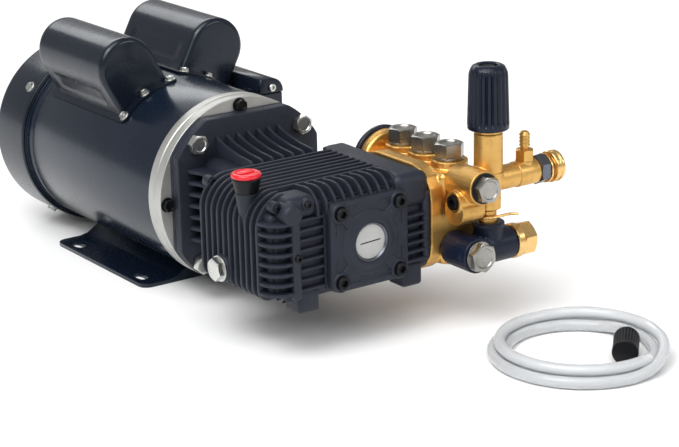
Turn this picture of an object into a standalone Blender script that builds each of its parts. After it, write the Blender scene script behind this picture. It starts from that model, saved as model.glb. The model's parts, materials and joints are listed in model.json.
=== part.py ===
"""Electric pressure washer pump: motor, triplex plunger pump, unloader, couplings and suction hose.

Metres, +Z up. The motor's shaft runs along Y with the pump at -Y, and the pump's brass head is at +X.
The origin is the middle of the motor foot's underside.
"""

import math

import bmesh
import bpy
from mathutils import Matrix, Vector

# ---------------------------------------------------------------- driving dimensions (metres)
GAP = 0.0003                 # clearance between neighbouring parts

SHAFT_Z = 0.0889             # shaft height above the foot
SHELL_RADIUS = 0.081
SHELL_BORE = 0.0785
SHELL_BACK_Y = 0.106
CASE_SEGMENTS = 40           # facets round the motor's case
RIM_RADIUS = 0.082
RIM_BACK_Y = -0.110          # joint between shell and front end bell
RIM_FRONT_Y = -0.130
REGISTER_RADIUS = 0.05715
MOTOR_SHAFT_RADIUS = 0.0085
COVER_RADIUS = 0.086         # fan cover
COVER_FRONT_Y = 0.1173
COVER_BACK_Y = 0.178

FOOT_HALF_WIDTH = 0.0755
FOOT_HALF_LENGTH = 0.082
FOOT_SHEET = 0.0035
FOOT_CORNER = 0.009
FOOT_SADDLE_ANGLE = 19       # degrees each side of straight down

CAPACITOR_ANGLE = 28         # degrees each side of straight up
ARCH_HEIGHT = 0.110          # arch centre above the shaft
ARCH_RADIUS = 0.0275
ARCH_WALL = 0.0015
CAPACITOR_COVER_LENGTH = 0.120
START_COVER_FRONT_Y = -0.033
RUN_COVER_FRONT_Y = -0.014

BOLT_OFFSET = 0.05275        # flange bolts, half the square of a 149.2 mm circle
FLANGE_HALF = 0.071
FLANGE_FRONT_Y = -0.144
CASE_BACK_Y = -0.200
CASE_FRONT_Y = -0.312
CASE_RIGHT_X = 0.064
CASE_TOP = 0.047             # heights from here on are above the shaft
CASE_CORE_TOP = 0.039
CASE_LEFT_X = -0.092
CASE_CORE_LEFT_X = -0.083
CASE_BOTTOM = -0.038
FIN_COUNT = 12
FIN_START_Y = -0.2107
FIN_PITCH = 0.00825
FIN_THICKNESS = 0.0032

CYLINDER_PITCH = 0.0317
CYLINDER_YS = tuple(-0.265 + CYLINDER_PITCH * k for k in (1, 0, -1))
THROW = 0.006                # crank eccentricity, half the stroke
THROW_ANGLES = (0, 120, 240)
THROW_RADIUS = 0.0165
ROD_REACH = 0.028            # big end centre to small end centre
PLUNGER_RADIUS = 0.008
CROSSHEAD_RADIUS = 0.011
CROSSHEAD_X = 0.0458         # crosshead's inner face at mid stroke

COVER_HALF = 0.038
COVER_BOLT_OFFSET = 0.0285
SIGHT_RADIUS = 0.016

HEAD_FRONT_Y = -0.315
HEAD_BACK_Y = -0.215
HEAD_TOP = 0.0465
VALVE_X = 0.0975

COLUMN_X = 0.110             # upright axis of unloader, knob and inlet pipe
COLUMN_Y = -0.332
BARREL_X = 0.0919
BARREL_Z = 0.0335
BARREL_RADIUS = 0.0143
BARREL_FRONT_Y = -0.349
INJECTOR_Z = 0.033
INJECTOR_RADIUS = 0.0102
INJECTOR_END_X = 0.1585
BARB_X = 0.1483
TOWER_TOP = 0.0766
KNOB_TOP = 0.1300
INLET_X = 0.0877
INLET_Z = -0.0235
INLET_RADIUS = 0.0148
INLET_FRONT_Y = -0.347
NUT_START_X = 0.1325
NUT_END_X = 0.1520
NUT_ACROSS_FLATS = 0.026
OUTLET_NUT_END_X = 0.1680
COUPLER_END_X = 0.1825

FILLER_X = -0.084
FILLER_Y = -0.271
FILLER_MOUTH = 0.0455
DRAIN_Y = -0.242
DRAIN_Z = -0.023

HOSE_X = 0.1155
HOSE_Y = -0.440
HOSE_RADIUS = 0.0047
COIL_INNER = 0.0535
COIL_OUTER = 0.074
COIL_TOP = 0.0215
FILTER_RADIUS = 0.0105
FILTER_LENGTH = 0.033
FILTER_OFFSET = 0.036        # its middle, from the coil's middle

PARTS = "pressure_washer_pump"
CUTTERS = "cutters"

FINISHES = {
    "motor_paint": ((0.055, 0.065, 0.085), 0.25, 0.2),
    "cover_paint": ((0.050, 0.058, 0.075), 0.3, 0.2),
    "machined_aluminium": ((0.60, 0.59, 0.57), 0.4, 1.0),
    "cast_charcoal": ((0.075, 0.075, 0.090), 0.55, 0.3),
    "zinc_plated": ((0.72, 0.72, 0.70), 0.3, 1.0),
    "nickel_plated": ((0.62, 0.62, 0.61), 0.25, 1.0),
    "black_oxide": ((0.03, 0.03, 0.035), 0.5, 0.6),
    "brass": ((0.72, 0.46, 0.16), 0.3, 1.0),
    "bright_brass": ((0.82, 0.58, 0.26), 0.22, 1.0),
    "black_plastic": ((0.030, 0.040, 0.060), 0.4, 0.0),
    "red_plastic": ((0.70, 0.03, 0.05), 0.35, 0.0),
    "silver_disc": ((0.62, 0.62, 0.61), 0.45, 0.3),
    "steel": ((0.50, 0.50, 0.50), 0.35, 1.0),
    "lamination": ((0.32, 0.30, 0.29), 0.5, 0.9),
    "ceramic": ((0.86, 0.84, 0.80), 0.3, 0.0),
    "grey_steel": ((0.28, 0.29, 0.31), 0.4, 0.9),
    "clear_vinyl": ((0.86, 0.88, 0.88), 0.15, 0.0),
}


# ---------------------------------------------------------------- helpers
def clear_scene():
    """Remove every object and the collections this script makes."""
    for obj in list(bpy.data.objects):
        bpy.data.objects.remove(obj, do_unlink=True)
    for name in (PARTS, CUTTERS):
        if name in bpy.data.collections:
            bpy.data.collections.remove(bpy.data.collections[name])


def collection(name):
    """Return the named collection, made and linked when it is missing."""
    if name not in bpy.data.collections:
        made = bpy.data.collections.new(name)
        bpy.context.scene.collection.children.link(made)
    return bpy.data.collections[name]


def finish(name):
    """Return the Principled material of one finish."""
    if name in bpy.data.materials:
        return bpy.data.materials[name]
    color, roughness, metallic = FINISHES[name]
    made = bpy.data.materials.new(name)
    made.use_nodes = True
    shader = made.node_tree.nodes["Principled BSDF"]
    shader.inputs["Base Color"].default_value = (*color, 1.0)
    shader.inputs["Roughness"].default_value = roughness
    shader.inputs["Metallic"].default_value = metallic
    made.diffuse_color = (*color, 1.0)
    return made


def stock(name, mesh, matrix=None):
    """Make a helper object in the cutters collection, hidden from renders."""
    obj = bpy.data.objects.new(name, mesh)
    collection(CUTTERS).objects.link(obj)
    obj.hide_render = True
    obj.display_type = "WIRE"
    if matrix is not None:
        obj.matrix_world = matrix
    return obj


def part(obj, name, finish_name, smooth=False):
    """Turn a helper object into the finished, named sub-part."""
    obj.name = name
    obj.data.name = name
    collection(CUTTERS).objects.unlink(obj)
    collection(PARTS).objects.link(obj)
    obj.hide_render = False
    obj.display_type = "TEXTURED"
    obj.data.materials.clear()
    obj.data.materials.append(finish(finish_name))
    if smooth:
        for face in obj.data.polygons:
            face.use_smooth = True
    return obj


def at(x, y, height):
    """Return a point given by its height above the shaft."""
    return Vector((x, y, SHAFT_Z + height))


def box(name, low, high):
    """Make a box between two corners."""
    low = Vector(low)
    high = Vector(high)
    size = high - low
    shape = bmesh.new()
    bmesh.ops.create_cube(shape, size=1.0, matrix=Matrix.Diagonal((*size, 1.0)))
    mesh = bpy.data.meshes.new(name)
    shape.to_mesh(mesh)
    shape.free()
    return stock(name, mesh, Matrix.Translation((low + high) / 2))


def rod(name, start, end, radius, end_radius=None, segments=32):
    """Make a cylinder or a cone between two points."""
    start = Vector(start)
    end = Vector(end)
    shape = bmesh.new()
    bmesh.ops.create_cone(
        shape, cap_ends=True, segments=segments, radius1=radius,
        radius2=radius if end_radius is None else end_radius, depth=(end - start).length)
    mesh = bpy.data.meshes.new(name)
    shape.to_mesh(mesh)
    shape.free()
    turn = (end - start).to_track_quat("Z", "Y").to_matrix().to_4x4()
    return stock(name, mesh, Matrix.Translation((start + end) / 2) @ turn)


def hexagon(name, start, end, across_flats):
    """Make a hexagonal prism between two points."""
    return rod(name, start, end, across_flats / math.sqrt(3), segments=6)


def aim(axis):
    """Return the rotation that turns local Z onto an axis."""
    return Vector(axis).to_track_quat("Z", "Y").to_matrix().to_4x4()


def turned(name, profile, origin, axis, segments=40, closed=False):
    """Turn a profile of (radius, height) points, listed down its outer side, about an axis."""
    mesh = bpy.data.meshes.new(name)
    edges = [(i, i + 1) for i in range(len(profile) - 1)]
    if closed:
        edges.append((len(profile) - 1, 0))
    mesh.from_pydata([(radius, 0.0, height) for radius, height in profile], edges, [])
    obj = stock(name, mesh, Matrix.Translation(origin) @ aim(axis))
    screw = obj.modifiers.new("turn", "SCREW")
    screw.axis = "Z"
    screw.angle = math.tau
    screw.steps = segments
    screw.render_steps = segments
    screw.use_merge_vertices = True
    screw.merge_threshold = 0.00001
    return obj


def along_y(name, profile, segments=40, closed=False):
    """Turn a profile about the shaft, its heights running forward along -Y from the origin."""
    return turned(name, profile, at(0, 0, 0), (0, -1, 0), segments, closed)


def outline(name, points, thickness, matrix):
    """Make a plate from a closed 2D outline, centred on its own plane, and place it."""
    curve = bpy.data.curves.new(name, "CURVE")
    curve.dimensions = "2D"
    curve.fill_mode = "BOTH"
    curve.extrude = thickness / 2
    spline = curve.splines.new("POLY")
    spline.points.add(len(points) - 1)
    for point, (u, v) in zip(spline.points, points):
        point.co = (u, v, 0.0, 1.0)
    spline.use_cyclic_u = True
    drawn = bpy.data.objects.new(name, curve)
    collection(CUTTERS).objects.link(drawn)
    mesh = bpy.data.meshes.new_from_object(drawn)
    bpy.data.objects.remove(drawn, do_unlink=True)
    shape = bmesh.new()
    shape.from_mesh(mesh)
    bmesh.ops.remove_doubles(shape, verts=shape.verts, dist=0.000001)
    bmesh.ops.recalc_face_normals(shape, faces=shape.faces)
    shape.to_mesh(mesh)
    shape.free()
    return stock(name, mesh, matrix)


def plate_xz(name, points, y_range, height=SHAFT_Z, turn=0.0):
    """Extrude an (x, z) outline along Y, its z measured from the given height."""
    low, high = sorted(y_range)
    matrix = (
        Matrix.Translation((0, (low + high) / 2, height))
        @ Matrix.Rotation(turn, 4, "Y")
        @ Matrix.Rotation(math.pi / 2, 4, "X"))
    return outline(name, points, high - low, matrix)


def plate_yz(name, points, x_range):
    """Extrude a (y, z) outline along X, its z measured from the shaft."""
    low, high = sorted(x_range)
    upright = Matrix.Rotation(math.pi / 2, 4, "Z") @ Matrix.Rotation(math.pi / 2, 4, "X")
    return outline(name, points, high - low, Matrix.Translation(((low + high) / 2, 0, SHAFT_Z)) @ upright)


def plate_xy(name, points, z_range):
    """Extrude an (x, y) outline along Z, between heights above the shaft."""
    low, high = sorted(z_range)
    return outline(name, points, high - low, Matrix.Translation(at(0, 0, (low + high) / 2)))


def arc(center, radius, start, end, steps):
    """Return points on an arc, angles in degrees from the first axis."""
    points = []
    for i in range(steps + 1):
        angle = math.radians(start + (end - start) * i / steps)
        points.append((center[0] + radius * math.cos(angle), center[1] + radius * math.sin(angle)))
    return points


def rounded(low, high, radius, steps=4):
    """Return a rounded rectangle's outline."""
    points = []
    points += arc((high[0] - radius, high[1] - radius), radius, 0, 90, steps)
    points += arc((low[0] + radius, high[1] - radius), radius, 90, 180, steps)
    points += arc((low[0] + radius, low[1] + radius), radius, 180, 270, steps)
    points += arc((high[0] - radius, low[1] + radius), radius, 270, 360, steps)
    return points


def repeat(obj, count, step):
    """Repeat an object along a world step, with an array modifier."""
    array = obj.modifiers.new("repeat", "ARRAY")
    array.count = count
    array.use_relative_offset = False
    array.use_constant_offset = True
    array.constant_offset_displace = obj.matrix_world.to_3x3().inverted() @ Vector(step)
    return obj


def combine(obj, operation, others):
    """Add one exact Boolean modifier for each other object."""
    for other in others:
        step = obj.modifiers.new(operation.lower(), "BOOLEAN")
        step.operation = operation
        step.solver = "EXACT"
        step.object = other
    return obj


def join(obj, *others):
    """Unite an object with others."""
    return combine(obj, "UNION", others)


def cut(obj, *others):
    """Cut others out of an object."""
    return combine(obj, "DIFFERENCE", others)


def bevel(obj, width, segments=1, angle=50):
    """Bevel an object's sharp edges."""
    step = obj.modifiers.new("bevel", "BEVEL")
    step.width = width
    step.segments = segments
    step.limit_method = "ANGLE"
    step.angle_limit = math.radians(angle)
    return obj


def hex_screw(name, head_start, head_end, across_flats, shank_end, shank_radius, finish_name):
    """Make a hexagon-headed screw: head between two points, shank going on to a third."""
    head = hexagon(name, head_start, head_end, across_flats)
    shank = rod(name + "_shank", (Vector(head_start) + Vector(head_end)) / 2, shank_end, shank_radius,
                segments=12)
    return part(join(bevel(head, 0.0006, angle=70), shank), name, finish_name)


# ---------------------------------------------------------------- motor
def build_motor_case():
    """Shell, end bells and fan cover."""
    front = -RIM_BACK_Y - GAP
    back = -SHELL_BACK_Y
    shell = along_y(
        "shell",
        [(SHELL_RADIUS, front), (SHELL_RADIUS, back), (SHELL_BORE, back), (SHELL_BORE, front)],
        CASE_SEGMENTS, closed=True)
    part(shell, "motor_shell", "motor_paint", smooth=True)

    spigot = SHELL_BORE - GAP
    bell = along_y(
        "bell",
        [(0.010, 0.1333), (REGISTER_RADIUS, 0.1333), (REGISTER_RADIUS, -RIM_FRONT_Y),
         (RIM_RADIUS, -RIM_FRONT_Y), (RIM_RADIUS, -RIM_BACK_Y), (spigot, -RIM_BACK_Y), (spigot, 0.100),
         (0.074, 0.100), (0.074, 0.118), (0.030, 0.118), (0.030, 0.100), (0.0202, 0.100),
         (0.0202, 0.113), (0.010, 0.113)],
        CASE_SEGMENTS, closed=True)
    for x in (-BOLT_OFFSET, BOLT_OFFSET):
        for z in (-BOLT_OFFSET, BOLT_OFFSET):
            cut(bell, rod("tapped_hole", at(x, -0.121, z), at(x, -0.136, z), 0.0050, segments=12))
    part(bell, "front_end_bell", "machined_aluminium", smooth=False)

    rear = along_y(
        "rear",
        [(0.0202, -0.096), (0.028, -0.096), (0.028, -0.106), (spigot, -0.106), (spigot, -SHELL_BACK_Y - GAP),
         (SHELL_RADIUS, -SHELL_BACK_Y - GAP), (SHELL_RADIUS, -COVER_FRONT_Y + GAP),
         (0.0836, -COVER_FRONT_Y + GAP), (0.0836, -0.128), (0.080, -0.128), (0.080, -0.118),
         (0.010, -0.118), (0.010, -0.1105), (0.0202, -0.1105)],
        CASE_SEGMENTS, closed=True)
    part(rear, "rear_end_bell", "motor_paint")

    cover = along_y(
        "cover",
        [(0, -0.175), (0.0765, -0.175), (0.084, -0.1665), (0.084, -COVER_FRONT_Y),
         (COVER_RADIUS, -COVER_FRONT_Y), (COVER_RADIUS, -0.168), (0.0830, -0.1751),
         (0.076, -COVER_BACK_Y), (0, -COVER_BACK_Y)],
        CASE_SEGMENTS)
    for i in range(8):
        turn = Matrix.Translation(at(0, COVER_BACK_Y, 0)) @ Matrix.Rotation(math.radians(22.5 + 45 * i), 4,
                                                                            "Y")
        slot = box("grille_slot", (0.022, -0.006, -0.003), (0.068, 0.006, 0.003))
        slot.matrix_world = turn @ slot.matrix_world
        cut(cover, slot)
    part(cover, "fan_cover", "cover_paint")


def build_rotor():
    """Stator, rotor on its shaft, bearings and fan."""
    stator = along_y(
        "stator",
        [(0.0395, 0.078), (0.070, 0.078), (0.070, 0.050), (0.0782, 0.050), (0.0782, -0.050),
         (0.070, -0.050), (0.070, -0.078), (0.0395, -0.078)],
        28, closed=True)
    part(stator, "stator_core", "lamination")

    rotor = along_y(
        "rotor",
        [(0, 0.183), (0.0079, 0.183), (0.0079, 0.126), (MOTOR_SHAFT_RADIUS, 0.126),
         (MOTOR_SHAFT_RADIUS, 0.045), (0.038, 0.045), (0.038, -0.045), (MOTOR_SHAFT_RADIUS, -0.045),
         (MOTOR_SHAFT_RADIUS, -0.160), (0, -0.160)],
        20)
    part(rotor, "rotor_shaft", "steel")

    bearing_bore = MOTOR_SHAFT_RADIUS + GAP
    for name, front, back in (
            ("front_motor_bearing", 0.1127, 0.101), ("rear_motor_bearing", -0.0983, -0.1102)):
        ring = along_y(
            name, [(0.0199, front), (0.0199, back), (bearing_bore, back), (bearing_bore, front)],
            20, closed=True)
        part(ring, name, "steel")

    fan = along_y(
        "fan",
        [(bearing_bore, -0.126), (0.016, -0.126), (0.016, -0.134), (0.045, -0.134), (0.045, -0.137),
         (0.016, -0.137), (0.016, -0.158), (bearing_bore, -0.158)],
        20, closed=True)
    for i in range(8):
        blade = box("fan_blade", (0.012, -0.0235, -0.001), (0.070, 0, 0.001))
        turn = Matrix.Translation(at(0, 0.1585, 0)) @ Matrix.Rotation(math.radians(45 * i), 4, "Y")
        blade.matrix_world = turn @ blade.matrix_world
        join(fan, blade)
    cut(fan, rod("fan_bore", at(0, 0.120, 0), at(0, 0.165, 0), bearing_bore, segments=20))
    part(fan, "cooling_fan", "black_plastic")


def build_foot():
    """Pressed foot with a saddle under the shell and four slots."""
    saddle = SHELL_RADIUS + 0.0004
    half = FOOT_HALF_WIDTH
    crest = saddle * math.sin(math.radians(FOOT_SADDLE_ANGLE))
    crest_z = SHAFT_Z - saddle * math.cos(math.radians(FOOT_SADDLE_ANGLE))
    rise = [(0.050, FOOT_SHEET), (0.042, FOOT_SHEET + 0.0015), (crest + 0.004, crest_z)]
    points = [(-half, 0), (half, 0), (half, FOOT_SHEET)] + rise
    points += arc((0, SHAFT_Z), saddle, -90 + FOOT_SADDLE_ANGLE, -90 - FOOT_SADDLE_ANGLE, 8)
    points += [(-x, z) for x, z in reversed(rise)] + [(-half, FOOT_SHEET)]
    foot = plate_xz("foot", points, (-FOOT_HALF_LENGTH, FOOT_HALF_LENGTH), height=0.0)
    plan = rounded((-half, -FOOT_HALF_LENGTH), (half, FOOT_HALF_LENGTH), FOOT_CORNER, 3)
    combine(foot, "INTERSECT", [plate_xy("foot_plan", plan, (-SHAFT_Z - 0.001, -0.060))])
    for x in (-0.065, 0.065):
        for y in (-0.058, 0.058):
            slot = plate_xy("foot_slot", rounded((x - 0.0045, y - 0.010), (x + 0.0045, y + 0.010), 0.0044, 2),
                            (-SHAFT_Z - 0.002, -SHAFT_Z + 0.006))
            cut(foot, slot)
    part(foot, "motor_foot", "motor_paint")


def build_capacitor(name, angle, front_y):
    """One arched capacitor cover with its foot flange, and the capacitor inside."""
    back_y = front_y + CAPACITOR_COVER_LENGTH
    turn = math.radians(angle)
    seat = SHELL_RADIUS + GAP
    sides = [(-ARCH_RADIUS, 0.070), (ARCH_RADIUS, 0.070)]
    body = plate_xz(name + "_body", sides + arc((0, ARCH_HEIGHT), ARCH_RADIUS, 0, 180, 10),
                    (front_y, back_y), turn=turn)
    bevel(body, 0.004)
    flange_points = arc((0, 0), seat + 0.002, 90 - 23.5, 90 + 23.5, 4) + arc((0, 0), seat, 90 + 23.5,
                                                                             90 - 23.5, 4)
    flange = plate_xz(name + "_flange", flange_points, (front_y - 0.008, back_y + 0.008), turn=turn)
    join(body, flange)
    seat_cutter = rod(name + "_seat", at(0, front_y - 0.02, 0), at(0, back_y + 0.02, 0), seat,
                      segments=CASE_SEGMENTS)
    inner = ARCH_RADIUS - ARCH_WALL
    room_points = [(-inner, 0.068), (inner, 0.068)] + arc((0, ARCH_HEIGHT), inner, 0, 180, 8)
    room = plate_xz(name + "_room", room_points, (front_y + ARCH_WALL, back_y - ARCH_WALL), turn=turn)
    cut(body, seat_cutter, room)
    part(body, name + "_cover", "cover_paint")

    lift = ARCH_HEIGHT - 0.005
    x = lift * math.sin(turn)
    z = lift * math.cos(turn)
    can = rod(name, at(x, front_y + 0.012, z), at(x, back_y - 0.012, z), 0.020, segments=20)
    part(can, name, "black_plastic")


def build_conduit_box():
    """Conduit box on the shell's upper right side, with a lid on top."""
    seat = SHELL_RADIUS + GAP
    right = 0.0985
    left = 0.0725
    split = 0.0555
    y_range = (-0.048, 0.040)
    points = [(right, split), (left, split)]
    low_angle = math.degrees(math.asin(-0.012 / seat))
    high_angle = math.degrees(math.asin(0.036 / seat))
    points += arc((0, 0), seat, high_angle, low_angle, 6)
    points.append((right, -0.012))
    body = plate_xz("conduit", points, y_range)
    room = box("conduit_room", at(0.0865, -0.045, -0.008), at(right - 0.0022, 0.037, split + 0.004))
    cut(body, room)
    part(body, "conduit_box", "cover_paint")

    lid_points = [(right + 0.001, split + GAP)]
    lid_points += arc((right + 0.001 - 0.013, 0.070 - 0.013), 0.013, 0, 90, 5)
    lid_points += [(left + 0.002, 0.070), (left - 0.0008, split + GAP)]
    lid = plate_xz("lid", lid_points, (y_range[0] - 0.001, y_range[1] + 0.001))
    part(bevel(lid, 0.0015), "conduit_box_lid", "cover_paint")


# ---------------------------------------------------------------- pump casing
def build_adaptor():
    """Square flange adaptor, its ribbed neck and the four bolts to the motor."""
    corner = math.degrees(math.acos(FLANGE_HALF / RIM_RADIUS))
    points = []
    for quadrant in range(4):
        points += arc((0, 0), RIM_RADIUS, 90 * quadrant + corner, 90 * quadrant + 90 - corner, 3)
    back_y = RIM_FRONT_Y - GAP
    end_y = CASE_BACK_Y + GAP
    flange = plate_xz("flange", points, (back_y, FLANGE_FRONT_Y))
    neck = plate_xz("neck", rounded((-0.048, -0.036), (0.048, 0.038), 0.012, 2), (FLANGE_FRONT_Y + 0.002,
                                                                                  end_y))
    rib_points = [(end_y, 0.030), (end_y, 0.0455), (-0.172, 0.0475), (-0.156, 0.053), (-0.142, 0.061),
                  (-0.142, 0.030)]
    ribs = plate_yz("neck_ribs", rib_points, (-0.0362, -0.0328))
    repeat(ribs, 7, (0.0115, 0, 0))
    join(flange, neck, ribs)
    cut(flange, rod("register", at(0, back_y + 0.001, 0), at(0, -0.134, 0), REGISTER_RADIUS + 2 * GAP,
                    segments=40))
    cut(flange, rod("neck_bore", at(0, -0.132, 0), at(0, -0.205, 0), 0.028, segments=24))
    for x in (-BOLT_OFFSET, BOLT_OFFSET):
        for z in (-BOLT_OFFSET, BOLT_OFFSET):
            cut(flange, rod("bolt_hole", at(x, -0.128, z), at(x, -0.150, z), 0.0052, segments=12))
    part(flange, "flange_adaptor", "cast_charcoal")

    number = 0
    for z in (BOLT_OFFSET, -BOLT_OFFSET):
        for x in (-BOLT_OFFSET, BOLT_OFFSET):
            number += 1
            hex_screw(
                "flange_bolt_%d" % number, at(x, FLANGE_FRONT_Y - GAP, z), at(x, FLANGE_FRONT_Y - 0.0068, z),
                0.0143, at(x, -0.1225, z), 0.0045, "zinc_plated")


def build_crankcase():
    """Finned crankcase with feet, bosses, cavity and bores."""
    core_points = [(CASE_RIGHT_X, -0.024), (CASE_RIGHT_X, 0.041)]
    core_points += [(0.058, CASE_TOP), (0.040, CASE_TOP), (0.037, CASE_CORE_TOP)]
    core_points += arc((-0.060, 0.016), 0.023, 90, 180, 4)
    core_points += [(CASE_CORE_LEFT_X, -0.028), (-0.073, CASE_BOTTOM), (0.044, CASE_BOTTOM), (0.052, -0.029)]
    core_points += [(0.058, -0.029)]
    front_core_y = CASE_FRONT_Y + 0.008
    case = plate_xz("core", core_points, (CASE_BACK_Y, front_core_y))

    fin_points = [(0.039, CASE_TOP)]
    fin_points += arc((-0.066, 0.021), 0.026, 90, 180, 4)
    fin_points += [(CASE_LEFT_X, -0.030), (-0.084, CASE_BOTTOM), (-0.070, -0.034), (-0.070, 0.030), (0.039,
                                                                                                     0.033)]
    fins = plate_xz("wrap_fins", fin_points, (FIN_START_Y - FIN_THICKNESS, FIN_START_Y))
    repeat(fins, FIN_COUNT, (0, -FIN_PITCH, 0))
    join(case, fins)

    rib_points = [(-0.292, 0.030), (-0.292, CASE_TOP)]
    rib_points += arc((-0.296, CASE_TOP - 0.016), 0.016, 90, 180, 3)
    rib_points += [(CASE_FRONT_Y, 0.030)]
    ribs = plate_yz("arched_ribs", rib_points, (-0.050, -0.0465))
    repeat(ribs, 9, (0.0088, 0, 0))
    join(case, ribs)

    side_fin = [(-0.086, CASE_FRONT_Y), (-0.038, CASE_FRONT_Y), (-0.038, -0.296), (-0.090, -0.296),
                (-0.090, -0.308)]
    left_fins = plate_xy("left_fins", side_fin, (-0.032, -0.0285))
    repeat(left_fins, 8, (0, 0, 0.0086))
    right_fins = plate_xy("right_fins", [(0.030, CASE_FRONT_Y), (0.058, CASE_FRONT_Y), (0.058, -0.296),
                                         (0.030, -0.296)],
                          (-0.028, -0.0246))
    repeat(right_fins, 8, (0, 0, 0.0079))
    ridge = box("ridge", at(-0.0720, -0.317, -0.037), at(-0.0635, -0.296, 0.040))
    shoulder = box("shoulder", at(-0.0640, CASE_FRONT_Y, 0.0305), at(-0.036, -0.296, 0.036))
    right_edge = box("right_edge", at(0.053, -0.313, -0.0265), at(CASE_RIGHT_X, -0.296, 0.041))
    seat = box("cover_seat", at(-0.0395, CASE_FRONT_Y, -0.0375), at(0.0395, -0.296, 0.0375))
    join(case, left_fins, right_fins, bevel(ridge, 0.002), shoulder, bevel(right_edge, 0.002), bevel(seat,
                                                                                                     0.003))

    for x_low, x_high in ((-0.064, -0.044), (0.038, 0.058)):
        for y_low, y_high in ((-0.311, -0.289), (-0.225, -0.203)):
            foot = box("case_foot", at(x_low, y_low, -0.0505), at(x_high, y_high, -0.030))
            join(case, bevel(foot, 0.0025))

    mouth = at(FILLER_X, FILLER_Y, FILLER_MOUTH)
    join(case, rod("filler_boss", mouth - Vector((0, 0, 0.036)), mouth, 0.004, 0.0092, segments=14))
    drain_boss = rod("drain_boss", at(-0.076, DRAIN_Y, DRAIN_Z), at(-0.0935, DRAIN_Y, DRAIN_Z), 0.0115,
                     segments=14)
    join(case, drain_boss)

    cut(case, bevel(box("cavity", at(-0.070, -0.3047, -0.032), at(0.044, -0.2135, 0.033)), 0.004))
    cut(case, rod("rear_pocket", at(0, -0.198, 0), at(0, -0.216, 0), 0.0235, segments=24))
    cut(case, rod("front_pocket", at(0, -0.300, 0), at(0, -0.320, 0), 0.0183, segments=20))
    for y in CYLINDER_YS:
        cut(case, rod("plunger_bore", at(0.036, y, 0), at(0.070, y, 0), CROSSHEAD_RADIUS + 2 * GAP,
                      segments=16))
    for x in (-COVER_BOLT_OFFSET, COVER_BOLT_OFFSET):
        for z in (-COVER_BOLT_OFFSET, COVER_BOLT_OFFSET):
            cut(case, rod("cover_hole", at(x, -0.306, z), at(x, -0.316, z), 0.0028, segments=8))
    cut(case, rod("filler_bore", mouth - Vector((0, 0, 0.031)), mouth + Vector((0, 0, 0.002)), 0.0047,
                  segments=10))
    cut(case, rod("filler_passage", mouth + Vector((0, 0, -0.027)), mouth + Vector((0.020, 0, -0.027)), 0.003,
                  segments=8))
    cut(case, rod("drain_hole", at(-0.086, DRAIN_Y, DRAIN_Z), at(-0.096, DRAIN_Y, DRAIN_Z), 0.0064,
                  segments=12))
    part(case, "crankcase", "cast_charcoal")


def build_cover():
    """Bearing cover with a sight glass and four socket bolts."""
    back_y = CASE_FRONT_Y - GAP
    front_y = back_y - 0.0070
    cover = plate_xz("cover_plate", rounded((-COVER_HALF, -0.037), (COVER_HALF, 0.037), 0.008, 2), (back_y,
                                                                                                    front_y))
    ring_points = [(0.0188, 0.0028), (0.0196, 0.0012), (0.0196, -0.003)]
    boss = turned("sight_boss", [(0, 0.0028), *ring_points, (0, -0.003)], at(0, front_y, 0), (0, -1, 0), 28)
    join(cover, boss)
    cut(cover, rod("sight_bore", at(0, front_y - 0.006, 0), at(0, front_y + 0.0035, 0), SIGHT_RADIUS + GAP,
                   segments=28))
    cut(cover, rod("oil_window", at(0, front_y - 0.002, 0), at(0, back_y + 0.002, 0), 0.0120, segments=20))
    for x in (-COVER_BOLT_OFFSET, COVER_BOLT_OFFSET):
        for z in (-COVER_BOLT_OFFSET, COVER_BOLT_OFFSET):
            cut(cover, rod("head_pocket", at(x, front_y - 0.002, z), at(x, front_y + 0.005, z), 0.0060,
                           segments=12))
            cut(cover, rod("shank_hole", at(x, front_y, z), at(x, back_y + 0.002, z), 0.0028, segments=8))
    part(cover, "bearing_cover", "cast_charcoal")

    glass = rod("glass", at(0, front_y + 0.0032, 0), at(0, front_y + 0.0010, 0), SIGHT_RADIUS, segments=28)
    part(glass, "sight_glass", "silver_disc")

    number = 0
    for z in (COVER_BOLT_OFFSET, -COVER_BOLT_OFFSET):
        for x in (-COVER_BOLT_OFFSET, COVER_BOLT_OFFSET):
            number += 1
            head = rod("head", at(x, front_y + 0.0047, z), at(x, front_y - 0.0005, z), 0.0055, segments=12)
            shank = rod("shank", at(x, front_y + 0.002, z), at(x, -0.3075, z), 0.0023, segments=8)
            socket = hexagon("socket", at(x, front_y + 0.002, z), at(x, front_y - 0.002, z), 0.005)
            part(cut(join(head, shank), socket), "cover_bolt_%d" % number, "black_oxide")


def build_oil_fittings():
    """Dipstick and drain plug."""
    stick = turned(
        "stick",
        [(0, 0.0167), (0.0117, 0.0167), (0.0120, 0.0155), (0.0120, 0.0140), (0.0115, 0.0120),
         (0.0090, 0.0004), (0.0040, 0.0004), (0.0040, -0.008), (0.0016, -0.010), (0.0016, -0.029), (0,
                                                                                                    -0.029)],
        at(FILLER_X, FILLER_Y, FILLER_MOUTH), (0, 0, 1), 18)
    part(stick, "oil_dipstick", "red_plastic")

    face = -0.0935 - GAP
    hex_screw(
        "drain_plug", at(face, DRAIN_Y, DRAIN_Z), at(face - 0.0065, DRAIN_Y, DRAIN_Z), 0.017,
        at(-0.0875, DRAIN_Y, DRAIN_Z), 0.0060, "zinc_plated")


# ---------------------------------------------------------------- crank train
def throw_center(index):
    """Return where one crank throw's centre stands at rest, as (x, height)."""
    angle = math.radians(THROW_ANGLES[index])
    return THROW * math.cos(angle), THROW * math.sin(angle)


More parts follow.
